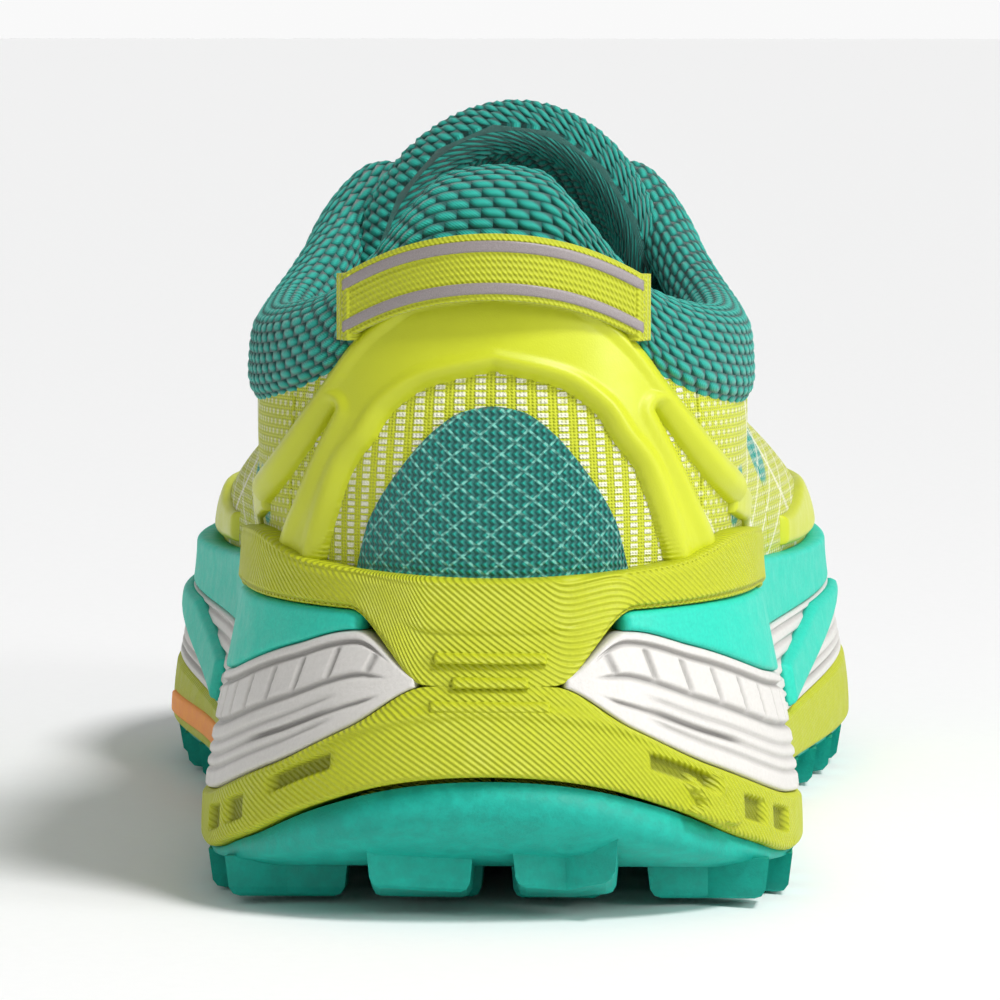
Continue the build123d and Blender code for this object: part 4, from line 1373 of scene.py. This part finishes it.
def ribbon(name, path, across, up, width, thickness, material, body="shoe", columns=60):
    """A flat tape along a path of points, with rounded edges."""
    t = np.linspace(0, 1, columns)
    stops = np.linspace(0, 1, len(path))
    centre = np.stack([np.interp(t, stops, np.array(path)[:, k]) for k in range(3)], -1)
    angle = np.linspace(0, 2 * np.pi, 20, endpoint=False)
    side = np.sign(np.cos(angle)) * np.abs(np.cos(angle)) ** 0.35 * width / 2
    lift = np.sign(np.sin(angle)) * np.abs(np.sin(angle)) ** 0.8 * thickness / 2
    grid = centre[:, None] + side[None, :, None] * np.array(across) + lift[None, :, None] * np.array(up)
    u = np.concatenate([[0], np.cumsum(np.linalg.norm(np.diff(centre, axis=0), axis=1))])
    uv = np.stack([u[:, None] + 0 * side[None], side[None] + 0 * u[:, None]], -1).reshape(-1, 2)
    return make_piece(name, grid.reshape(-1, 3), tube_faces(columns, 20), material, body, uv)


def make_laces(mats):
    """Flat lace rows over the tongue and the knot on the top one."""
    for i in range(6):
        y = -30 + 12 * i
        half = 21 - 0.9 * i
        slant = 2.2 if i % 2 == 0 else -2.2
        path = []
        for k in np.linspace(-1, 1, 17):
            x, at = half * k, y + slant * k
            height = ridge_by_y(at) - TONGUE_SINK - 0.0073 * x**2 + 1.5 + 1.1 * (1 - k * k)
            path.append((spine_x + x, at, height))
        lace = ribbon(
            f"lace_row_{i + 1}_tape", path, (0.05, 1, -0.45), (0, 0.4, 1), 6.0, 1.6, mats["lace_cream"],
        )
        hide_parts(f"lace_row_{i + 1}")
    crown = ridge_by_y(-30.0) - TONGUE_SINK + 4.6
    wraps = []
    for turn in np.linspace(0, 2 * np.pi, 49):
        wraps.append((
            spine_x + 8.0 * np.sin(turn), -30 + 3.4 * np.sin(2 * turn),
            crown + 1.6 * np.cos(3 * turn),
        ))
    knot = ribbon(
        "lace_knot_tape", wraps, (0, 1, -0.3), (0, 0.3, 1), 5.0, 2.0, mats["lace_cream"], columns=120,
    )
    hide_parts("lace_knot")


def tab_points(stations, out, level):
    """Points on the tab: out from its inner face, at a level from -1 at its lower edge to 1."""
    share = stations / TAB_STATION
    height = TAB_HEIGHT - TAB_DROP * share**2
    stand_off = TAB_REST + TAB_BOW * np.cos(np.pi / 2 * share) ** 2
    v = np.array([v_where(s, 1, z) for s, z in zip(stations, height)])
    depth = form_point(stations, v)[0] - stand_off
    return place(stations, depth - out, height + level * TAB_WIDTH / 2)


def tab_strip(name, inner, outer, low, high, end, material, rows=24):
    stations = np.linspace(-end, end, 150)
    levels = low + (high - low) * spread(rows)
    front = np.stack([tab_points(stations, outer, level) for level in levels], 1)
    back = np.stack([tab_points(stations, inner, level) for level in levels], 1)
    flat = lengths(front)
    edge = np.minimum(flat[..., 1], flat[:, -1:, 1] - flat[..., 1])
    t = np.clip(1 - edge / 0.5, 0, 1)
    shrink = (1 - np.sqrt(1 - t**2))[..., None] * 0.45
    middle_grid = (front + back) / 2
    front, back = front + (middle_grid - front) * shrink, back + (middle_grid - back) * shrink
    points, faces = closed_sheet(front, back)
    return make_piece(name, points, faces, material, "pull_tab", np.concatenate([flat.reshape(-1, 2)] * 2))


def make_pull_tab(mats):
    """The webbing tab with its ends rolled under, and two reflective tapes sewn on it."""
    tab = tab_strip("pull_tab_webbing", 0.0, TAB_THICKNESS, -1, 1, TAB_STATION, mats["webbing_lime"])
    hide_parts("pull_tab")
    for name, low, high in (("lower", -0.80, -0.46), ("upper", 0.46, 0.80)):
        tape = tab_strip(
            f"tab_stripe_{name}_tape", TAB_THICKNESS * 0.6, TAB_THICKNESS + 0.35, low, high,
            TAB_STATION * 0.985, mats["reflective_grey"], rows=10,
        )
        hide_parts(f"tab_stripe_{name}")
    for side, name in SIDES:
        station = np.array([side * TAB_STATION])
        path = [tab_points(station, -0.3, level)[0] for level in (-1, -0.5, 0, 0.5, 1)]
        roll = ribbon(
            f"tab_end_{name}_roll", path, (0.5 * side, 0.86, 0), (0.86, -0.5 * side, 0), 4.2, 3.4,
            mats["webbing_lime"], body="pull_tab", columns=30,
        )


def paint_hidden(mats):
    """Materials for the CAD pieces that stay as they are, inside the upper."""
    for node in ("heel_counter", "toe_puff"):
        found = bpy.data.objects.get(node)
        if found:
            found.data.materials.clear()
            found.data.materials.append(mats["board"])


# ---------------------------------------------------------------- build


materials = {
    "knit_teal": knit_material(),
    "mesh_lime": jacquard_material(),
    "woven_teal": dome_material(),
    "tpu_lime": overlay_material(),
    "foam_lime": foam_material("foam_lime", LIME, LIME_DEEP),
    "foam_teal": foam_material("foam_teal", FOAM_TEAL, TEAL, ribs=False),
    "foam_white": foam_material("foam_white", WHITE, (0.50, 0.48, 0.45, 1.0), ribs=False, rough=0.5),
    "rubber_teal": rubber_material("rubber_teal", TEAL, TEAL_LIGHT),
    "accent_orange": rubber_material("accent_orange", ORANGE, (0.95, 0.38, 0.05, 1.0)),
    "webbing_lime": webbing_material("webbing_lime", LIME, LIME_DEEP),
    "reflective_grey": tape_material(),
    "lace_cream": webbing_material("lace_cream", CREAM, (0.5, 0.55, 0.2, 1.0), rib=1.4),
    "liner_knit": liner_material("liner_knit", (0.0, 0.22, 0.19, 1.0), (0.0, 0.06, 0.05, 1.0)),
    "board": liner_material("board", (0.45, 0.43, 0.38, 1.0), (0.3, 0.29, 0.26, 1.0)),
}
make_camera()
make_stage()
make_outsole(materials)
make_sole(materials)
make_inside(materials)
make_quarters(materials)
make_heel(materials)
make_collar(materials)
make_tongue(materials)
make_laces(materials)
make_pull_tab(materials)
paint_hidden(materials)
